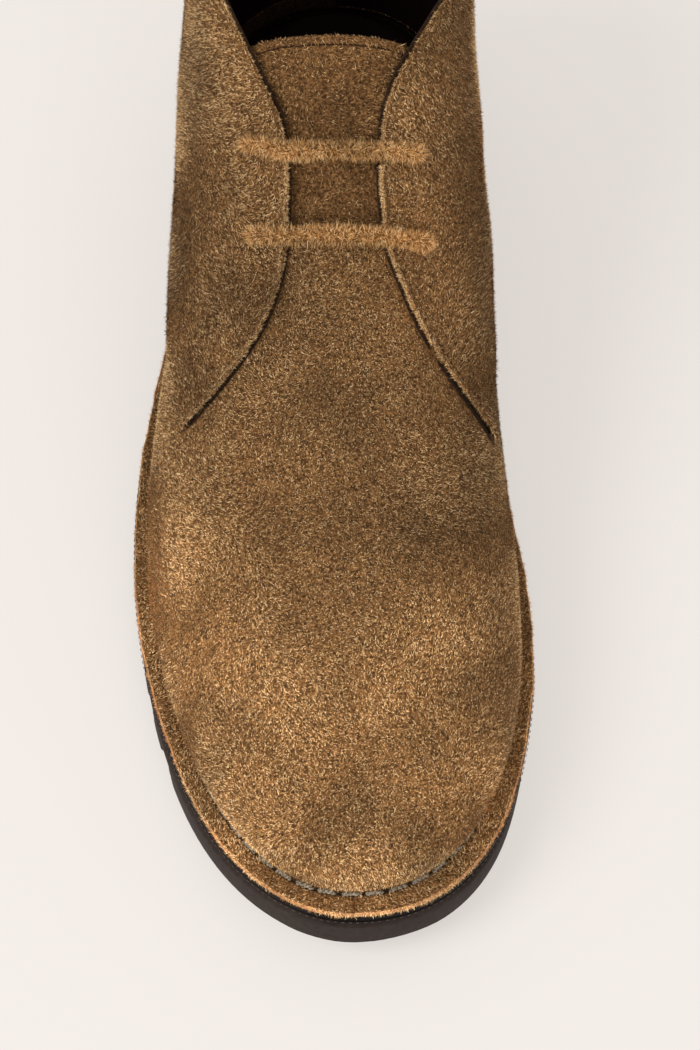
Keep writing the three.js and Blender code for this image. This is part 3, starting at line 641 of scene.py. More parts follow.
def vamp_grid():
    edge_turn = math.acos(1 - 2 * (VAMP_EDGE + BELLY_BULGE) / (LAST_LENGTH + 2 * BELLY_BULGE))
    turns = np.concatenate([np.linspace(0, edge_turn, 60), np.linspace(edge_turn, math.pi, 130)[1:]])
    fraction = (1 - np.cos(turns)) / 2
    s = -BELLY_BULGE + (LAST_LENGTH + 2 * BELLY_BULGE) * fraction
    lines = band_lines(LATERAL, fraction)
    band = len(lines)
    for k in range(DOME_COLUMNS + 1):
        angle = math.pi * k / DOME_COLUMNS
        side = LATERAL if 2 * k <= DOME_COLUMNS else MEDIAL
        out = abs(math.cos(angle)) ** (2 / follow(LAST, "across", s))
        rise = max(math.sin(angle), 0.0) ** (2 / follow(LAST, "over", s))
        x = middle(s) + side * half_width(side, s, 1.0) * out
        folded = worn(x, s, VAMP_CREASES) * math.sin(angle) ** 0.5 * (s > VAMP_EDGE - 1)
        z = bed(s) + belly_up(s) + crown(s) * rise + folded
        lines.append(np.stack([x, -s, z], axis=-1))
    lines += band_lines(MEDIAL, fraction)[::-1]
    grid = np.stack(lines, axis=1)
    keep = np.ones((grid.shape[0] - 1, grid.shape[1] - 1), bool)
    hidden = round(HIDDEN_TURN / 180 * DOME_COLUMNS)
    over = np.arange(band + hidden, band + DOME_COLUMNS - hidden)
    keep[np.ix_(s[:-1] < VAMP_EDGE - 1e-6, over)] = False
    beside = np.abs(grid[:-1, :-1, 0]) > THROAT_HALF
    top = np.zeros_like(keep)
    top[:, over] = True
    keep &= ~(top & beside & (s[:-1, None] < VAMP_UNDER))
    up = grid[:-1, :-1, 2] - bed(s)[:-1, None]
    keep &= ~((s[:-1, None] < VAMP_EDGE - 1e-6) & (up > follow(VAMP_TALL, "up", s)[:-1, None]))
    slots = np.zeros_like(keep, int)
    slots[:, :CUT_ROWS] = 1
    slots[:, -CUT_ROWS:] = 1
    # The rows in the crease take the dark inside suede, as painted shade in the crease between wall and
    # flange.
    crease = len(FLANGE_SECTION) - 3
    slots[:, crease:crease + SHADED_CREASE_ROWS] = 2
    slots[:, -crease - SHADED_CREASE_ROWS:-crease] = 2
    return grid, keep, slots


vamp_points, vamp_kept, vamp_slots = vamp_grid()
_, vamp_sign = grid_normals(vamp_points[:, 25:-25], (-1, 0, 0.5))
SUEDE_SIDES = [suede, raw_edge, inside_and_shade_suede]
vamp = grid_object("vamp", vamp_points, SUEDE_SIDES, vamp_kept, vamp_slots, flip=vamp_sign > 0)
thicken(vamp, VAMP_THICK, edge_slot=1, inside_slot=2)
baked(vamp)
print("vamp:", triangles(vamp), "triangles")

# %% [markdown]
# The quarters are the two wings that wrap the heel and close over the instep. They lie on top
# of the vamp, so their edge stands proud by the thickness of the suede. Each is laid out
# between two boundary lines: along the bottom and up the wing's lower edge to its point, and
# along the collar and down the open throat to the same point. The two sides meet at the back.

# %% Boundary lines of the quarters
QUARTER_PROUD = 1.3
THROAT = {
    "s": [58, 64, 70, 77, 85, 92, 99, 108, 117, 125, 132, 139, 145, 151, 156, 160, 163],
    "lateral": [30, 31, 30.2, 26.8, 22.3, 18, 13.6, 11.5, 11.5,
                12.1, 13.6, 16.7, 20.7, 26.6, 32.6, 39.2, 45],
    "medial": [29.5, 30.4, 29.6, 26, 20.8, 15.8, 12.7, 11.7, 12.2,
               13.8, 17.3, 21.2, 25.6, 31.8, 38.2, 43.8, 48],
}
WING = {"s": [82, 90, 101, 116, 134, 150, 170], "lateral": [0, 11, 22, 31, 37.5, 41, 42.5],
        "medial": [0, 11, 22, 29.5, 33, 34, 33.5]}
COLLAR = {"s": [-20, 6, 26, 44, 56, 66], "z": [121.5, 120.5, 118.5, 118.5, 121.5, 127]}
COLLAR_CORNER = 68.0
CREASE_HEIGHT = 2.1
POINT_HEIGHT = 0.35


def wing_up(side, s):
    """How high the wing's lower edge lies over the feather line on one side."""
    return follow(WING, "lateral" if side == LATERAL else "medial", s)


def throat_line(side, s):
    """The throat's edge on one side: x and z at each s."""
    x = middle(s) + side * follow(THROAT, "lateral" if side == LATERAL else "medial", s)
    return x, top_height(x, s)


def wing_point(side):
    """Where the throat's edge comes down to the wing's lower edge."""
    s = np.linspace(150, 163, 1300)
    over = throat_line(side, s)[1] - bed(s) - wing_up(side, s)
    return float(s[np.argmax(over < POINT_HEIGHT)])


WING_POINT = {side: wing_point(side) for side in (LATERAL, MEDIAL)}
print("wing points at s =", WING_POINT)


def back_s(z):
    """Where the back of the heel lies at a height z."""
    s = np.linspace(-BELLY_BULGE, 34, 400)
    height = bed(s) + belly_up(s) + crown(s)
    low = np.clip((z - bed(0.0)) / belly_up(0.0), 0, 1)
    return np.where(z < height[0], -BELLY_BULGE * (1 - (1 - low) ** 2), np.interp(z, height, s))


def evenly(side, s, z, count):
    """Even steps along a line on the last that is given by its s and z."""
    points = np.stack([side_x(side, s, z), -s, z], axis=-1)
    length = np.concatenate([[0], np.cumsum(np.linalg.norm(np.diff(points, axis=0), axis=1))])
    even = np.linspace(0, length[-1], count)
    return np.interp(even, length, s), np.interp(even, length, z)


def quarter_foot(side, count):
    """Along the bottom, up the front of the heel part and along the wing to its point."""
    start = float(back_s(bed(0.0) + CREASE_HEIGHT)) + 0.01
    s = start + (WING_POINT[side] - start) * np.linspace(0, 1, 3000) ** 2
    up = np.maximum(CREASE_HEIGHT, np.where(s < WING["s"][0], 0, wing_up(side, s)))
    return evenly(side, s, bed(s) + up, count)


def quarter_head(side, count):
    """Along the collar, round its corner and down the throat to the point."""
    start = float(back_s(follow(COLLAR, "z", 6.0))) + 0.01
    s = start + (COLLAR_CORNER - 3 - start) * np.linspace(0, 1, 1500) ** 2
    throat = np.linspace(COLLAR_CORNER + 3, WING_POINT[side], 1500)
    z = np.concatenate([follow(COLLAR, "z", s), throat_line(side, throat)[1]])
    return evenly(side, np.concatenate([s, throat]), z, count)


print("quarter lines:", [round(float(v), 1) for v in quarter_head(LATERAL, 5)[0]])

# %% [markdown]
# Two plain holes are punched on each side for the lace. A Boolean would cut them, but it needs
# closed solids, and these are still open sheets. So the faces under the punch are split finer
# and taken out, and the points of the rim that is left are drawn onto the punch's circle.

# %% Punched holes
HOLES = {  # s and distance from the middle line on each side; middle is where the bar crosses
    "low": {"middle": 122.1, LATERAL: (120.7, 20.2), MEDIAL: (121.4, 23.6)},
    "top": {"middle": 105.2, LATERAL: (102.2, 21.6), MEDIAL: (103.9, 21.3)},
}
PUNCH_RADIUS = 2.4
NEAR_HOLE, TOO_FAR = 0.012, 99.0


def punched(piece):
    """Four round holes in a sheet."""
    shape = bmesh.new()
    shape.from_mesh(piece.data)
    for row in HOLES.values():
        for side in (LATERAL, MEDIAL):
            s, out = row[side]
            inner, outer = (Vector(place(on_top(side * out, s, lift))) for lift in (-1.0, 1.0))
            axis = (outer - inner).normalized()

            def away(point):
                offset = point - (inner + outer) / 2
                flat = offset - axis * offset.dot(axis)
                return flat.length / MM if offset.length < NEAR_HOLE else TOO_FAR

            near = [e for e in shape.edges if away((e.verts[0].co + e.verts[1].co) / 2) < PUNCH_RADIUS * 1.9]
            bmesh.ops.subdivide_edges(shape, edges=near, cuts=2, use_grid_fill=True)
            gone = [f for f in shape.faces if away(f.calc_center_median()) < PUNCH_RADIUS]
            bmesh.ops.delete(shape, geom=gone, context="FACES")
            for vertex in shape.verts:
                far = away(vertex.co)
                if far < PUNCH_RADIUS * 1.35 and any(edge.is_boundary for edge in vertex.link_edges):
                    offset = vertex.co - (inner + outer) / 2
                    flat = offset - axis * offset.dot(axis)
                    vertex.co += flat * (PUNCH_RADIUS / far - 1)
    shape.to_mesh(piece.data)
    shape.free()
    piece.data.shade_smooth()


print("holes at", [row[side] for row in HOLES.values() for side in (LATERAL, MEDIAL)])

# %% [markdown]
# Between the two lines the sheet follows the last. Its rows crowd near both edges, because the
# edge is where a maker looks: the suede is skived and rolled there, so a low bead runs along
# the throat and collar with a faint groove beside it, and the surface dips at the cut. Along
# the throat the edge also flares up a little, which leaves a thin dark gap over the vamp.

# %% Quarters
QUARTER_COLUMNS = 150
QUARTER_THICK = 1.4
QUARTER_BEAD, QUARTER_GROOVE = (0.5, 0.9, 0.7), (-0.4, 2.2, 0.5)  # height, way from the cut, width
QUARTER_FLARE, FLARE_START, FLARE_RAMP = (0.9, 0.0, 3.2), 78, 12
CUT_DIP = 0.35
EDGE_STEPS = np.array([0, 0.3, 0.6, 0.95, 1.3, 1.6, 1.95, 2.4, 3.1, 4.2])
MIDDLE_ROWS = 30
QUARTER_CREASES = [
    (-34, 128, 6, 12, 0.9, -0.5), (36, 126, 7, 12, -0.9, -0.5), (-37, 108, 9, 10, 0.5, 0.6),
    (38, 104, 9, 10, -0.5, 0.6), (-30, 90, 7, 12, 0.2, -0.5), (31, 88, 7, 12, -0.2, -0.5),
    (-38, 66, 8, 9, 0.0, 0.5), (38, 60, 9, 9, 0.0, -0.5),
]


def edge_wave(way, height, centre, width):
    """A rounded bead or groove along an edge, at a way from the cut in millimetres."""
    return height * np.exp(-((way - centre) / width) ** 2)


def column_steps(length):
    """Row places along a column: crowded at both ends."""
    near = EDGE_STEPS * min(1.0, length / 16)
    middle_steps = np.linspace(near[-1], length - near[-1], MIDDLE_ROWS + 2)[1:-1]
    return np.concatenate([near, middle_steps, length - near[::-1]])


def quarter_grid(side):
    """Rows from the foot line to the head line, and each point's way to both lines."""
    foot_s, foot_z = quarter_foot(side, QUARTER_COLUMNS)
    head_s, head_z = quarter_head(side, QUARTER_COLUMNS)
    grid, to_foot, to_head = [], [], []
    way = np.linspace(0, 1, 240)
    for column in range(QUARTER_COLUMNS):
        on_throat = np.clip((head_s[column] - 60) / 30, 0, 1)
        share = (1 - on_throat) * way + on_throat * (1 - (1 - way) ** 2)
        z = foot_z[column] + (head_z[column] - foot_z[column]) * share
        foot_off = foot_s[column] - back_s(foot_z[column])
        head_off = head_s[column] - back_s(head_z[column])
        s = back_s(z) + foot_off + (head_off - foot_off) * share
        points = np.stack([side_x(side, s, z), -s, z], axis=-1)
        length = np.concatenate([[0], np.cumsum(np.linalg.norm(np.diff(points, axis=0), axis=1))])
        steps = column_steps(length[-1])
        grid.append(np.stack([np.interp(steps, length, points[:, k]) for k in range(3)], axis=-1))
        to_foot.append(steps)
        to_head.append(length[-1] - steps)
    return np.stack(grid, axis=1), np.stack(to_foot, axis=1), np.stack(to_head, axis=1)


def both_sides(one, other):
    return np.concatenate([one[:, ::-1], other[:, 1:]], axis=1)


halves = zip(quarter_grid(LATERAL), quarter_grid(MEDIAL))
quarter_base, to_foot, to_head = (both_sides(one, other) for one, other in halves)
quarter_normals, quarter_sign = grid_normals(quarter_base, (-1, 0, 0))
bead = edge_wave(to_head, *QUARTER_BEAD) + edge_wave(to_head, *QUARTER_GROOVE)
down_throat = np.clip((-quarter_base[..., 1] - FLARE_START) / FLARE_RAMP, 0, 1)
flare = edge_wave(to_head, *QUARTER_FLARE) * down_throat
dip = -CUT_DIP * np.exp(-to_head / 0.25) - CUT_DIP * np.exp(-to_foot / 0.3)
folded = worn(quarter_base[..., 0], -quarter_base[..., 1], QUARTER_CREASES)
standing = QUARTER_PROUD + bead + dip + flare + folded
quarters = grid_object("quarters", quarter_base + standing[..., None] * quarter_normals,
                       [suede, raw_edge, lining_leather], flip=quarter_sign > 0)
punched(quarters)
thicken(quarters, QUARTER_THICK, edge_slot=1, inside_slot=2)
baked(quarters)
print("quarters:", triangles(quarters), "triangles")

# %% [markdown]
# The lining is a thin dark leather glued to the inside of the quarters. It is a sheet of its
# own: seen from above it makes the dark line inside the light cut edge of the suede.

# %% Lining
LINING_INSET, LINING_DEEP, LINING_THICK = 0.9, 0.12, 1.5
lining_rows = np.flatnonzero(EDGE_STEPS >= LINING_INSET)[0]
lining_base = quarter_base[lining_rows:-lining_rows]
lining_normals = quarter_normals[lining_rows:-lining_rows]
lining_points = lining_base - LINING_DEEP * lining_normals
lining = grid_object("lining", lining_points, [lining_leather], flip=quarter_sign > 0)
punched(lining)
thicken(lining, LINING_THICK)
baked(lining)
print("lining:", triangles(lining), "triangles")

# %% [markdown]
# A narrow strip of dark leather lies under each of the quarters' throat edges. It is painted
# shadow: it peeks out a hair's breadth past the cut edge and makes the dark line that follows
# the edge down to the wing's point, where the edge's shade falls. It takes the head line of
# each quarter, steps across it and lies just below the suede.

# %% Painted shadow along the throat
SHADOW_STRIP_UNDER, SHADOW_STRIP_OUT, SHADOW_STRIP_DEEP, SHADOW_STRIP_THICK = 2.6, 0.6, 1.25, 0.5
head_line, next_line = quarter_base[-1], quarter_base[-4]
head_normal = quarter_normals[-4]
off_edge = head_line - next_line
off_edge /= np.linalg.norm(off_edge, axis=-1, keepdims=True)
shadow_strip_columns = -head_line[:, 1] > COLLAR_CORNER + 4
shadow_strips = []
for name, beside in (("throat_shadow_outer", head_line[:, 0] < 0), ("throat_shadow_inner", head_line[:, 0] >= 0)):
    chosen = shadow_strip_columns & beside
    level = QUARTER_PROUD - SHADOW_STRIP_DEEP
    section = ((-SHADOW_STRIP_UNDER, 0.0), (0.0, 0.25), (SHADOW_STRIP_OUT * 0.6, 0.3), (SHADOW_STRIP_OUT, 0.0))
    rows = [head_line[chosen] + off_edge[chosen] * out + head_normal[chosen] * (level + drop)
            for out, drop in section]
    strip = np.stack(rows)
    _, strip_sign = grid_normals(strip, (0, 0, 1))
    shadow_strip = grid_object(name, strip, [inside_and_shade_suede], flip=strip_sign > 0)
    thicken(shadow_strip, SHADOW_STRIP_THICK)
    baked(shadow_strip)
    shadow_strips.append(shadow_strip)
    print(name, triangles(shadow_strip), "triangles")

# %% [markdown]
# The tongue is a separate piece, sewn under the vamp's top edge. Only its middle shows between
# the quarters. Its top edge is turned over and stitched, which leaves a pale rim with a fine
# groove below it, so its first rows are shaped as a bead and a groove like the quarters' edge.

# %% Tongue
TONGUE = {"s": [87.6, 90, 94, 101, 110, 122, 136], "half": [25.2, 24.4, 22.6, 19, 17.4, 17.2, 16.5]}
TONGUE_ARCH, TONGUE_THICK, TONGUE_LIFT = -2.0, 1.8, -2.2
TONGUE_END = 133.0
TONGUE_BEAD, TONGUE_GROOVE, TONGUE_DIP = (0.35, 0.6, 0.5), (-0.35, 1.45, 0.3), 0.3
TONGUE_CREASES = [(-6, 112, 5, 9, 0.3, -0.35), (7, 106, 6, 8, -0.2, 0.3), (0, 96, 5, 14, 0, -0.25)]
SHADED_GROOVE_ROWS = slice(4, 5)

tongue_way = np.concatenate([EDGE_STEPS, np.linspace(5.2, TONGUE_END - TONGUE["s"][0], 44)])
tongue_t = np.linspace(-1, 1, 61)
tongue_arch = TONGUE_ARCH * tongue_t**2 * np.clip(1 - tongue_way[:, None] / 12, 0, 1)
tongue_s = TONGUE["s"][0] + tongue_way[:, None] + tongue_arch
tongue_x = tongue_t * follow(TONGUE, "half", tongue_s)
tongue_bead = edge_wave(tongue_way, *TONGUE_BEAD) + edge_wave(tongue_way, *TONGUE_GROOVE)
tongue_dip = TONGUE_DIP * np.exp(-tongue_way / 0.25)
tongue_soft = worn(tongue_x, tongue_s, TONGUE_CREASES)
tongue_lift = TONGUE_LIFT + tongue_bead[:, None] - tongue_dip[:, None] + tongue_soft
tongue_points = on_top(tongue_x, tongue_s, tongue_lift)
_, tongue_sign = grid_normals(tongue_points, (0, 0, 1))
tongue_slots = np.zeros((len(tongue_way) - 1, len(tongue_t) - 1), int)
# The groove below the tongue's rim takes the dark inside suede, as painted shade in the groove.
tongue_slots[SHADED_GROOVE_ROWS] = 2
tongue = grid_object("tongue", tongue_points, SUEDE_SIDES, slots=tongue_slots, flip=tongue_sign > 0)
thicken(tongue, TONGUE_THICK, edge_slot=1)
baked(tongue)
print("tongue:", triangles(tongue), "triangles")

# %% [markdown]
# Below the upper lie the flat layers: insole, midsole, outsole and heel. Each is an outline with
# a top and a bottom, so one helper lays a closed loop of points at each place s: across the
# top, down one edge, back across the bottom and up the other edge, with the corners eased. The
# insole stops inside the upper, and the midsole is trimmed to the flange that lies on it.

# %% Layers of the sole
EASE = [(0.0, 1.0), (0.3, 0.72), (0.6, 0.4), (0.85, 0.15), (1.0, 0.0)]


def along_layer(edge, stations, first=None, last=None):
    """The stations s of a layer, crowded at the rounded ends."""
    heel_reach, toe_reach = edge_ends(edge)
    first = -heel_reach if first is None else first
    last = LAST_LENGTH + toe_reach if last is None else last
    turns = np.linspace(0, math.pi, stations)
    return first + (last - first) * (1 - np.cos(turns)) / 2


def layer_object(name, edge, low, high, material, stations, ease=0.5):
    """A layer with eased corners, as rings of points along the boot."""
    s = along_layer(edge, stations)
    rings = []
    for side in (LATERAL, MEDIAL):
        half = outline_half(side, s, edge)
        for share in (0.25, 0.5, 0.75):
            rings.append((side, share * np.maximum(half - ease, 0), high(s)))
        for lean, down in EASE:
            rings.append((side, np.maximum(half - ease * down, 0), high(s) - ease * lean))
        for share in (0.35, 0.65):
            rings.append((side, half, high(s) - ease + (low(s) - high(s) + 2 * ease) * share))
        for lean, down in EASE[::-1]:
            rings.append((side, np.maximum(half - ease * down, 0), low(s) + ease * lean))
        for share in (0.75, 0.5, 0.25):
            rings.append((side, share * np.maximum(half - ease, 0), low(s)))
    one = [np.stack([middle(s) + side * x, -s, z], axis=-1) for side, x, z in rings]
    count = len(one) // 2
    loop = one[:count] + one[count:][::-1]
    return grid_object(name, np.stack(loop + loop[:1], axis=1), [material], solid=True)


MIDSOLE, GAP, INSOLE, INSOLE_EASE = 2.2, 0.3, 3.5, 2.3
MIDSOLE_PROUD, MIDSOLE_LOW = 0.15, 0.25


def midsole_top(s):
    return bed(s) - GAP


def outsole_top(s):
    return midsole_top(s) - MIDSOLE - GAP


def outsole_low(s):
    return outsole_top(s) - follow(GROUND, "rubber", s)


def insole_edge(s):
    return -INSOLE_EASE + 0 * s


def midsole_edge(s):
    return follow(GROUND, "margin", s) + MIDSOLE_PROUD


def midsole_bottom(s):
    return midsole_top(s) - MIDSOLE - MIDSOLE_LOW


insole = layer_object("insole", insole_edge, bed, lambda s: bed(s) + INSOLE, lining_leather, 70)
midsole = layer_object("midsole", midsole_edge, midsole_bottom, midsole_top, midsole_rubber, 110)
print("insole and midsole:", triangles(insole), triangles(midsole), "triangles")

# %% [markdown]
# The outsole is a moulded rubber slab. Its edge is plain round the toe, and behind that it is
# scooped out between lugs, as on a climbing sole. The scoops could be cut with Booleans; here
# every ring of the slab asks one function how deep the scoop is at its place, which keeps the
# edges soft, as moulded rubber is. Underneath, bars stand in a sunk field inside a rim.

# %% Scoops and tread
LUG_PITCH, NOTCH_RADIUS, NOTCH_DEPTH, SCOOP_RISE = 17.0, 5.2, 7.0, 7.4
TREAD_INSET, TREAD_DEPTH, BAR, BAR_SPLIT = 13.0, 3.2, 9.0, 4.0
TOE_BLOCK, REAR_SCOOP, WAIST, HEEL_BREAST, HEEL_LEAN = 234.0, 131.0, 112.0, 80.0, 5.0
TREAD_FRONT, HEEL_FIELD, HEEL_HIGH, LEANS_FROM = TOE_BLOCK + 14, (8, HEEL_BREAST - 8), 12, 70
BAR_EASE, SCOOP_EASE, RIM_GAP, MARKED = 0.7, 1.3, 0.6, 1.2


def scoop(s, up, first, last):
    """How far the edge is scooped in, in millimetres, at s and a height up over the low face."""
    places = np.arange(first, last, LUG_PITCH)
    near = np.min(np.abs(s[:, None] - places[None, :]), axis=1)
    open_half = NOTCH_RADIUS * np.sqrt(np.clip(1 - (up / SCOOP_RISE) ** 2, 0, 1))
    mouth = np.clip((open_half - near) / SCOOP_EASE + 0.5, 0, 1)
    mouth = mouth * mouth * (3 - 2 * mouth)
    return mouth * NOTCH_DEPTH * np.clip(1 - up / SCOOP_RISE, 0, 1) ** 0.35


def tread(s, share_in, first, last):
    """How far the bottom is sunk at s, between the bars (share_in: 1 inside the field)."""
    places = np.arange(first + LUG_PITCH / 2, last, LUG_PITCH)
    off_bar = np.min(np.abs(s[:, None] - places[None, :]), axis=1) - BAR / 2
    between = np.clip(off_bar / BAR_EASE + 0.5, 0, 1)
    within = np.clip(np.minimum(s - first, last - s) / BAR_EASE + 0.5, 0, 1)
    return TREAD_DEPTH * share_in * between * within


def tread_stations(first, last):
    """Stations at both sides of each bar's edge, so that the edges are crisp."""
    edges = [first, last]
    for place_s in np.arange(first + LUG_PITCH / 2, last, LUG_PITCH):
        edges += [place_s - BAR / 2, place_s + BAR / 2]
    return [edge + step for edge in edges for step in (-BAR_EASE / 2, BAR_EASE / 2)]


def field_edge(s):
    """The edge of the sunk field under the sole, well inside the rim."""
    return -TREAD_INSET + follow(GROUND, "margin", 150.0) + 0 * s


def rubber_block(low, high, s, scoops, field, lean=0.0):
    """A lugged block of rubber as rings, with its scoops (first, last) and field (first, last)."""
    heights = [0.0, 0.05, 0.12, 0.2, 0.3, 0.4, 0.5, 0.6, 0.7, 0.8, 0.9, 0.96, 1.0]
    tall = high(s) - low(s)
    field_ends = np.clip(np.minimum(s - field[0], field[1] - s) / BAR_EASE + 0.5, 0, 1)
    loops = []
    scooped = []
    for side in (LATERAL, MEDIAL):
        half = outline_half(side, s, side_edge(side))
        field_half = np.maximum(outline_half(side, s, field_edge), 0)
        loop, marks = [], []
        inside = [(0.0, 0.0), (BAR_SPLIT / 2 - RIM_GAP / 2, 0.0), (BAR_SPLIT / 2 + RIM_GAP / 2, 1.0)]
        for width, on_bar in inside:
            x = np.minimum(width, field_half)
            sunk = TREAD_DEPTH * (field_half > 3) * field_ends
            sunk = sunk if on_bar == 0 else tread(s, 1.0, *field)
            loop.append((x, low(s) + sunk * (low(s) < high(s) - 4)))
            marks.append(0 * s)
        for share, sunk in ((0.35, 1.0), (0.68, 1.0), (1.0, 1.0), (1.0, 0.0)):
            bar_reach = np.maximum(field_half - BAR_SPLIT / 2 - RIM_GAP, 0) * share
            x = np.minimum(BAR_SPLIT / 2 + RIM_GAP / 2, field_half) + bar_reach
            x = x + (RIM_GAP if share == 1.0 and sunk == 0.0 else 0.0)
            loop.append((np.minimum(x, half), low(s) + tread(s, sunk, *field)))
            marks.append(0 * s)
        cut = scoop(s, 0.0, *scoops)
        for share in (0.33, 0.66, 0.9):
            inner = np.minimum(field_half + RIM_GAP, half)
            rim = np.maximum(half - cut - 0.4, inner)
            loop.append((np.minimum(inner + (half - inner) * share, rim), low(s)))
            marks.append(0 * s)
        for k, share in enumerate(heights):
            up = tall * share
            cut = np.array([scoop(s[i:i + 1], up[i], *scoops)[0] for i in range(len(s))])
            ease = 0.5 * (1 - min(share / 0.05, 1)) + 0.45 * max((share - 0.96) / 0.04, 0)
            swell = 0.35 * math.sin(math.pi * share)
            loop.append((np.maximum(half - cut - ease + swell - 0.35, 0), low(s) + up))
            marks.append(cut)
        for share in (0.66, 0.33, 0.0):
            loop.append((half * share, high(s)))
            marks.append(0 * s)
        loops.append([np.stack([middle(s) + side * x,
                                -s - lean * (z - low(s)) / HEEL_HIGH * (s > LEANS_FROM), z], axis=-1)
                      for x, z in loop])
        scooped.append(marks)
    ring = loops[0] + loops[1][::-1][1:]
    marks = scooped[0] + scooped[1][::-1][1:]
    grid = np.stack(ring + ring[:1], axis=1)
    marks = np.stack(marks + marks[:1], axis=1)
    # Faces deep in a scoop take the second material, the pale painted highlight.
    slots = (np.minimum(marks[:-1, :-1], marks[1:, 1:]) > MARKED).astype(int)
    return grid, slots


outsole_s = np.concatenate([along_layer(sole_edge, 90), np.arange(122, 243, 0.8),
                            tread_stations(WAIST, TREAD_FRONT)])
outsole_s = np.unique(np.round(outsole_s, 3))
outsole_points, outsole_slots = rubber_block(
    lambda s: np.maximum(outsole_low(s), 0.0), outsole_top, outsole_s,
    (REAR_SCOOP, TOE_BLOCK), (WAIST, TREAD_FRONT))
outsole = grid_object("outsole", outsole_points, [rubber, scoop_highlight_rubber], slots=outsole_slots, solid=True)
print("outsole:", triangles(outsole), "triangles")

heel_start = along_layer(sole_edge, 90)
heel_s = np.concatenate([heel_start[heel_start < HEEL_BREAST], np.arange(6, HEEL_BREAST, 0.9),
                         tread_stations(*HEEL_FIELD), [HEEL_BREAST]])
heel_s = np.unique(np.round(heel_s, 3))
heel_s = heel_s[heel_s <= HEEL_BREAST]
heel_points, heel_slots = rubber_block(lambda s: 0 * s, lambda s: outsole_low(s) - GAP, heel_s,
                                       (14, HEEL_FIELD[1]), HEEL_FIELD, lean=HEEL_LEAN)
heel = grid_object("heel", heel_points, [rubber, scoop_highlight_rubber], slots=heel_slots, solid=True)
print("heel:", triangles(heel), "triangles")

# %% [markdown]
# One lace holds the boot. It starts behind the medial top hole, comes up through the medial
# low hole, crosses, goes in, runs up inside to the lateral top hole, crosses again and stops
# inside the medial top hole. The route is a smooth curve through the same points as the packed
# solid; the lace round it is a tube whose thickness wanders a little, as cut suede does.

# %% Lace route
LACE_RADIUS = 1.75
LACE_OVER, LACE_UNDER, THROAT_EDGE = 3.7, -4.2, 12
STEPS_PER_SPAN = 12


def half_bar(row, side):
    """From inside a hole, up through it and out to the throat's edge."""
    s, out = row[side]
    ahead = row["middle"] - s
    steps = [(out, 0.0, -1.6), (out, 0.0, 0.6), (out - 0.7, 0.1, LACE_OVER - 0.9),
             (out - 3.8, 0.35, LACE_OVER + 0.2), (THROAT_EDGE, 1.0, LACE_OVER + 0.1)]
    return [on_top(side * x, s + ahead * share, lift) for x, share, lift in steps]


def bar(row, first, second):
    crossing = on_top(THROAT_EDGE, row["middle"], LACE_OVER + 0.1) * [0, 1, 1] + [0, 0, 0.5]
    return half_bar(row, first) + [crossing] + half_bar(row, second)[::-1]


def hidden(row, side, further, ahead, lift):
    s, out = row[side]
    return on_top(side * (out + further), s + ahead, lift)


def lace_stations():
    low, top = HOLES["low"], HOLES["top"]
    route = [hidden(top, MEDIAL, 4.5, 6.5, LACE_UNDER - 0.3), hidden(low, MEDIAL, 1.8, -6, LACE_UNDER - 0.3),
             hidden(low, MEDIAL, 0.7, -1.6, LACE_UNDER + 0.4)]
    route += bar(low, MEDIAL, LATERAL)
    route += [hidden(low, LATERAL, 0.9, -1.6, LACE_UNDER + 0.4),
              hidden(low, LATERAL, 3.2, -6, LACE_UNDER - 0.3),
              hidden(top, LATERAL, 1.9, 6, LACE_UNDER - 0.3),
              hidden(top, LATERAL, 0.8, 1.6, LACE_UNDER + 0.4)]
    route += bar(top, LATERAL, MEDIAL)
    return np.array(route + [hidden(top, MEDIAL, 0, 0, LACE_UNDER + 0.6)])


def smooth_route(stations, per_span):
    """A centripetal curve through the stations."""
    padded = np.concatenate([[2 * stations[0] - stations[1]], stations, [2 * stations[-1] - stations[-2]]])
    points = []
    for a, b, c, d in zip(padded, padded[1:], padded[2:], padded[3:]):
        t0 = 0.0
        t1 = t0 + np.linalg.norm(b - a) ** 0.5
        t2 = t1 + np.linalg.norm(c - b) ** 0.5
        t3 = t2 + np.linalg.norm(d - c) ** 0.5
        for t in np.linspace(t1, t2, per_span, endpoint=False):
            ab = (t1 - t) / (t1 - t0) * a + (t - t0) / (t1 - t0) * b
            bc = (t2 - t) / (t2 - t1) * b + (t - t1) / (t2 - t1) * c
            cd = (t3 - t) / (t3 - t2) * c + (t - t2) / (t3 - t2) * d
            abc = (t2 - t) / (t2 - t0) * ab + (t - t0) / (t2 - t0) * bc
            bcd = (t3 - t) / (t3 - t1) * bc + (t - t1) / (t3 - t1) * cd
            points.append((t2 - t) / (t2 - t1) * abc + (t - t1) / (t2 - t1) * bcd)
    return np.array(points + [stations[-1]])


def tube(route, radius, sides=16):
    """Rings of points round a route, carried along without twist, and its quads."""
    heading = np.gradient(route, axis=0)
    heading /= np.linalg.norm(heading, axis=1, keepdims=True)
    up = np.cross(heading[0], [0.3, 0.2, 0.93])
    rings = []
    turns = np.linspace(0, 2 * math.pi, sides, endpoint=False)
    for k, point in enumerate(route):
        up = up - heading[k] * (up @ heading[k])
        up /= np.linalg.norm(up)
        other = np.cross(heading[k], up)
        width = radius(k, turns) if callable(radius) else radius
        rings.append(point + (np.cos(turns) * width)[:, None] * up + (np.sin(turns) * width)[:, None] * other)
    index = np.arange(len(route) * sides).reshape(len(route), sides)
    following = np.roll(index, -1, axis=1)
    quads = np.stack([index[:-1], following[:-1], following[1:], index[1:]], axis=-1).reshape(-1, 4)
    ends = [list(index[0][::-1]), list(index[-1])]
    return np.concatenate(rings), [list(q) for q in quads] + ends


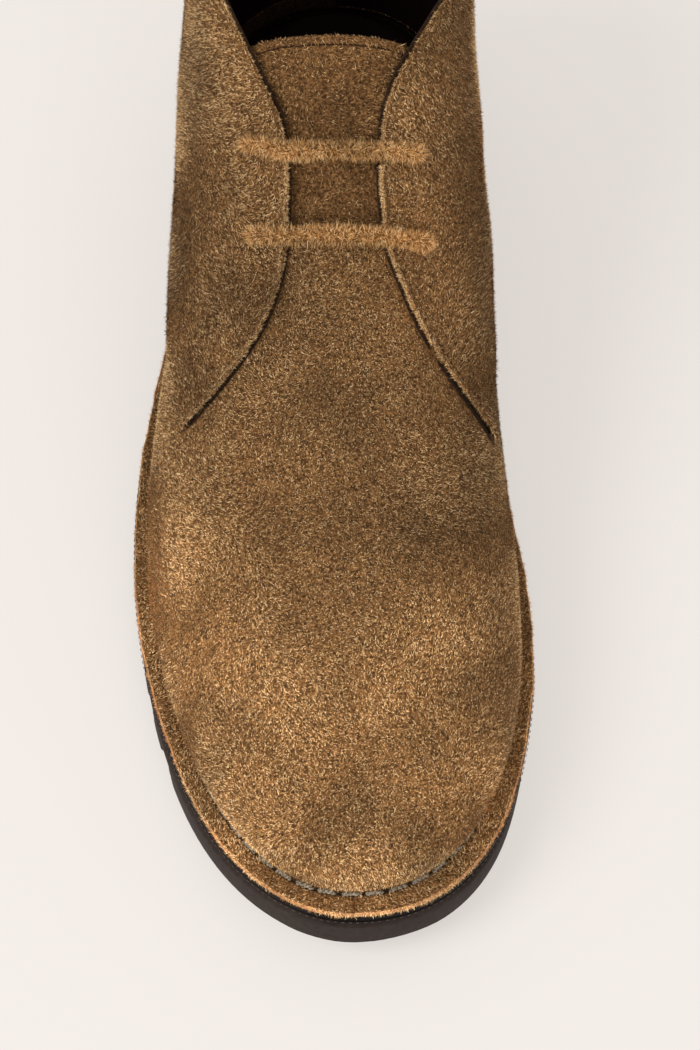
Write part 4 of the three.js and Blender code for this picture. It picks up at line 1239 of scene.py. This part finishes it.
lace_route = smooth_route(lace_stations(), STEPS_PER_SPAN)
lace_length = float(np.sum(np.linalg.norm(np.diff(lace_route, axis=0), axis=1)))


def lace_width(k, turns):
    """The lace's radius at step k of its route, uneven along it and round it."""
    return LACE_RADIUS + 0.14 * np.sin(k / 5.3 + 2 * turns) + 0.08 * np.sin(k / 2.1)


lace_points, lace_faces = tube(lace_route, lace_width)
lace = mesh_object("lace", place(lace_points), lace_faces)
lace.data.materials.append(lace_ground)
print("lace:", round(lace_length), "mm long,", triangles(lace), "triangles")

# %% [markdown]
# A stitch-down boot is held by a heavy lockstitch that runs in the crease all the way round.
# Each stitch is a short length of two-ply waxed thread: two fine strands twisted round each
# other, slightly arched, that dips into the leather at both ends. One stitch is computed, and
# all of them are joined into one mesh. A finer row of short stitches lies on the outsole's
# ledge, just outside the midsole.

# %% Stitches
STITCH_PITCH, STITCH_LENGTH, THREAD = 6.2, 4.6, 0.4
STITCH_OUT, STITCH_UP, STITCH_DIP = 2.2, 2.0, 0.45
FINE_PITCH, FINE_LENGTH, FINE_THREAD, FINE_DIP = 1.9, 0.8, 0.11, 0.05
LEDGE_OUT, LEDGE_UP = 0.35, 0.12
LINE_STEP, PLY_TURNS = 0.2, 2.1


def crease_line(edge, height):
    """Points round the boot, from the lateral heel over the toe to the medial heel, in even steps."""
    heel_reach, toe_reach = edge_ends(edge)
    fraction = (1 - np.cos(np.linspace(0, math.pi, 4000))) / 2
    s = -heel_reach + (LAST_LENGTH + heel_reach + toe_reach) * fraction
    sides = [np.stack([middle(s) + side * outline_half(side, s, edge), -s, height(s)], axis=-1)
             for side in (LATERAL, MEDIAL)]
    line = np.concatenate([sides[0], sides[1][::-1][1:]])
    length = np.concatenate([[0], np.cumsum(np.linalg.norm(np.diff(line, axis=0), axis=1))])
    even = np.arange(0, length[-1], LINE_STEP)
    return np.stack([np.interp(even, length, line[:, k]) for k in range(3)], axis=-1)


def stitch_row(name, line, pitch, length, width, plies, dip, steps=12, sides=6):
    """A row of stitches along a line, joined into one mesh."""
    vertices, faces, count = [], [], 0
    chance = np.random.default_rng(7)
    for start in np.arange(pitch, len(line) * LINE_STEP - pitch, pitch):
        first = start + chance.normal(0, 0.12)
        reach = length + chance.normal(0, 0.15)
        way = np.linspace(0, 1, steps)
        at = np.clip((first + way * reach) / LINE_STEP, 0, len(line) - 1)
        path = np.stack([np.interp(at, np.arange(len(line)), line[:, k]) for k in range(3)], axis=-1)
        path[:, 2] += dip * (np.clip(4 * way * (1 - way), 0, 1) ** 0.4 - 1) * 2 + dip * 0.4
        ahead = path[-1] - path[0]
        ahead /= np.linalg.norm(ahead)
        out = np.cross(ahead, [0, 0, 1])
        phase = chance.uniform(0, 6.28)
        for ply in range(plies):
            twist = phase + 2 * math.pi * (ply / plies + PLY_TURNS * way)
            strand = path.copy()
            if plies > 1:
                turned = np.cos(twist)[:, None] * out + np.sin(twist)[:, None] * [0, 0, 1]
                strand = strand + width * 0.8 * turned
            points, quads = tube(strand, width, sides)
            faces += [[index + count for index in quad] for quad in quads]
            vertices.append(points)
            count += len(points)
    return mesh_object(name, place(np.concatenate(vertices)), faces)


seam = crease_line(lambda s: STITCH_OUT + 0 * s, lambda s: bed(s) + STITCH_UP)
stitches = stitch_row("crease_stitches", seam, STITCH_PITCH, STITCH_LENGTH, THREAD, 2, STITCH_DIP)
fine_seam = crease_line(lambda s: follow(GROUND, "margin", s) + LEDGE_OUT, lambda s: outsole_top(s) + LEDGE_UP)
fine_stitches = stitch_row("sole_stitches", fine_seam, FINE_PITCH, FINE_LENGTH, FINE_THREAD, 1, FINE_DIP,
                           steps=4, sides=5)
stitches.data.materials.append(thread)
fine_stitches.data.materials.append(fine_thread)
print("stitches:", triangles(stitches), "and", triangles(fine_stitches), "triangles")

# %% [markdown]
# The nap itself is what makes suede read as suede, above all at the outline, where single hairs
# stand against the light. A hair system would not survive export, so each fibre is one thin
# triangle, scattered evenly over a sheet by area, leaning with a slow swirl that the hand leaves
# in real suede. All fibres of a sheet are joined in one mesh, in three shades.

# %% Nap
NAP_CLEAR, RIM = 1.3, 1.5
SHADE_BAND_OUT, SHADE_BAND_IN, SHADE_BAND_HIGH, SHADE_BAND_TOE = 0.6, 1.7, 3.1, 7


def on_last(points):
    """Points of the frame as the last's own x, s and z."""
    x, minus_s, z = (points + [X_ORIGIN, -S_ORIGIN, 0]).T
    return x, -minus_s, z


def quarter_edges(x, s):
    """The throat's half width and the height of the wing's lower edge, on the side of x."""
    outer = x < middle(s)
    half = np.where(outer, follow(THROAT, "lateral", s), follow(THROAT, "medial", s))
    wing = np.where(outer, wing_up(LATERAL, s), wing_up(MEDIAL, s))
    return half, np.where(s < WING["s"][0], 0, wing)


def clear_of_crease_shade(points):
    """Keeps the nap off the foot of the wall, so the dark ground shows there as painted shade in the crease.
    """
    x, s, z = on_last(points)
    line = lambda v: CREASE_OUT + 0 * v
    half = np.where(x < middle(s), outline_half(LATERAL, s, line), outline_half(MEDIAL, s, line))
    inside = half - np.abs(x - middle(s))
    at_foot = (inside > -SHADE_BAND_OUT) & ((inside < SHADE_BAND_IN) | (s > LAST_LENGTH - SHADE_BAND_TOE))
    return ~(at_foot & (z < bed(s) + SHADE_BAND_HIGH))


def clear_of_quarters(points):
    """Keeps vamp and tongue nap from under the quarters and off the foot of their edge, bare there as painted
    shade.
    """
    x, s, z = on_last(points)
    half, wing = quarter_edges(x, s)
    covered = (np.abs(x - middle(s)) > half - NAP_CLEAR) & (s < WING_POINT[LATERAL] + 1)
    low = z < bed(s) + wing - NAP_CLEAR
    return ~covered | low


def on_rim(points):
    """True along the quarters' throat edge, where the nap is made paler and shorter."""
    x, s, z = on_last(points)
    half, wing = quarter_edges(x, s)
    above = z > bed(s) + wing - 1
    return (np.abs(x - middle(s)) - half < RIM) & (s > COLLAR_CORNER - 12) & above


def scatter(source, count, chance, slot=0):
    """Even random spots on the faces of one material slot: points, normals and the area."""
    mesh = source.data
    mesh.calc_loop_triangles()
    corners = np.empty(len(mesh.loop_triangles) * 3, np.int32)
    mesh.loop_triangles.foreach_get("vertices", corners)
    owners = np.empty(len(mesh.loop_triangles), np.int32)
    mesh.loop_triangles.foreach_get("material_index", owners)
    points = np.empty(len(mesh.vertices) * 3)
    mesh.vertices.foreach_get("co", points)
    normals = np.empty(len(mesh.vertices) * 3)
    mesh.vertices.foreach_get("normal", normals)
    points, normals = points.reshape(-1, 3), normals.reshape(-1, 3)
    corners = corners.reshape(-1, 3)[owners == slot]
    a, b, c = (points[corners[:, k]] for k in range(3))
    area = np.linalg.norm(np.cross(b - a, c - a), axis=1) / 2
    pick = chance.choice(len(corners), count, p=area / area.sum())
    u, v = chance.random(count), chance.random(count)
    u, v = np.where(u + v > 1, 1 - u, u), np.where(u + v > 1, 1 - v, v)
    spot = a[pick] + u[:, None] * (b[pick] - a[pick]) + v[:, None] * (c[pick] - a[pick])
    face_normal = np.cross(b - a, c - a)[pick]
    face_normal /= np.maximum(np.linalg.norm(face_normal, axis=1, keepdims=True), 1e-12)
    return spot, face_normal, area.sum() / MM**2


def swirl(points):
    """The slow change of the direction in which the nap lies."""
    x, y, z = (points / MM).T
    broad = 1.6 * np.sin(x / 17 + 1.3) + 1.4 * np.sin(y / 23 + z / 19)
    return broad + 0.9 * np.sin((x - y) / 9) + 0.6 * np.sin(z / 6 + x / 7)


def nap(name, source, count, length, width, lift, seed, shades, shares, slot, wild, keep):
    """Fibres of a length and width in millimetres, leaning at lift radians off the sheet."""
    chance = np.random.default_rng(seed)
    spot, normal, area = scatter(source, count, chance, slot)
    if keep is not None:
        kept = keep(spot / MM)
        spot, normal, area = spot[kept], normal[kept], area * kept.mean()
    total = len(spot)
    side = np.cross(normal, [0.0, 0.0, 1.0]) + np.cross(normal, [0.35, 0.2, 0.0])
    side /= np.maximum(np.linalg.norm(side, axis=1, keepdims=True), 1e-9)
    other = np.cross(normal, side)
    turn = swirl(spot) + chance.normal(0, wild, total)
    along = np.cos(turn)[:, None] * side + np.sin(turn)[:, None] * other
    raised = np.clip(chance.normal(lift, 0.22, total), 0.08, 1.45)[:, None]
    lean = np.cos(raised) * along + np.sin(raised) * normal
    across = np.cross(lean, normal)
    across /= np.maximum(np.linalg.norm(across, axis=1, keepdims=True), 1e-9)
    reach = (length * np.clip(chance.lognormal(0, 0.3, total), 0.4, 1.9) * MM)[:, None]
    half = (width / 2 * chance.uniform(0.7, 1.3, total) * MM)[:, None]
    root = spot - normal * 0.05 * MM
    corners = [root - across * half, root + across * half, root + lean * reach]
    vertices = np.stack(corners, axis=1).reshape(-1, 3)
    mesh = bpy.data.meshes.new(name)
    mesh.vertices.add(3 * total)
    mesh.vertices.foreach_set("co", vertices.astype(np.float32).ravel())
    mesh.loops.add(3 * total)
    mesh.loops.foreach_set("vertex_index", np.arange(3 * total, dtype=np.int32))
    mesh.polygons.add(total)
    mesh.polygons.foreach_set("loop_start", np.arange(0, 3 * total, 3, dtype=np.int32))
    mesh.polygons.foreach_set("material_index", chance.choice(len(shades), total, p=shares).astype(np.int32))
    mesh.update(calc_edges=True)
    for shade in shades:
        mesh.materials.append(shade)
    piece = bpy.data.objects.new(name, mesh)
    bpy.context.scene.collection.objects.link(piece)
    print(f"{name}: {total} fibres, {total / area:.1f} to the square millimetre")
    return piece


SHARES = [0.4, 0.34, 0.26]
DARK_SHARES = [0.66, 0.3, 0.04]
RIM_SHARES = [0.12, 0.44, 0.44]


def on_vamp(points):
    return clear_of_quarters(points) & clear_of_crease_shade(points)


def off_rim(points):
    return ~on_rim(points)


NAP_ROWS = [  # name, sheet, fibres, length, width, lift, seed, shades, shares, slot, wild, keep
    ("vamp_nap", vamp, 222000, 0.75, 0.16, 0.55, 11, fibres, SHARES, 0, 0.8, on_vamp),
    ("quarters_nap", quarters, 195000, 0.95, 0.17, 0.62, 12, fibres, SHARES, 0, 0.8, off_rim),
    ("rim_nap", quarters, 700000, 0.7, 0.15, 0.6, 18, fibres, RIM_SHARES, 0, 0.8, on_rim),
    ("tongue_nap", tongue, 30000, 0.95, 0.16, 0.5, 13, fibres, DARK_SHARES, 0, 0.8, clear_of_quarters),
    ("vamp_edge_nap", vamp, 12000, 0.8, 0.16, 0.6, 14, fibres[1:], [0.5, 0.5], 1, 0.8, None),
    ("quarters_edge_nap", quarters, 16000, 0.8, 0.16, 0.6, 15, fibres[1:], [0.5, 0.5], 1, 0.8, None),
    ("tongue_edge_nap", tongue, 2500, 0.8, 0.16, 0.6, 16, fibres[1:], [0.4, 0.6], 1, 0.8, None),
    ("lace_nap", lace, 26000, 1.5, 0.17, 0.85, 17, lace_fibres, [0.36, 0.34, 0.3], 0, 2.0, None),
]
naps = {row[0]: (row[1], nap(*row)) for row in NAP_ROWS}

# %% [markdown]
# Every piece rides on the boot's one body. The list says which imported solid it stands for, whose
# part is then hidden, and names a slot of the record for its finish, which nothing here uses.

# %% Fix to the frame
stands_for = [
    (vamp, "suede", "upper"), (quarters, "suede", "upper"), (lining, "lining", "upper"),
    (tongue, "suede_tongue", "tongue"), (insole, "lining", "insole"), (midsole, "midsole_rubber", "midsole"),
    (outsole, "rubber", "outsole"), (heel, "rubber", "heel"), (lace, "lace", "lace"),
    (stitches, "lace", None), (fine_stitches, "lace", None),
    # The two throat strips are painted shadow, listed under the lining's slot.
    (shadow_strips[0], "lining", None), (shadow_strips[1], "lining", None),
]
for piece, slot, node_name in stands_for:
    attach(piece, "root")
    if node_name:
        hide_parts(node_name)
for name, (source, piece) in naps.items():
    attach(piece, "root")

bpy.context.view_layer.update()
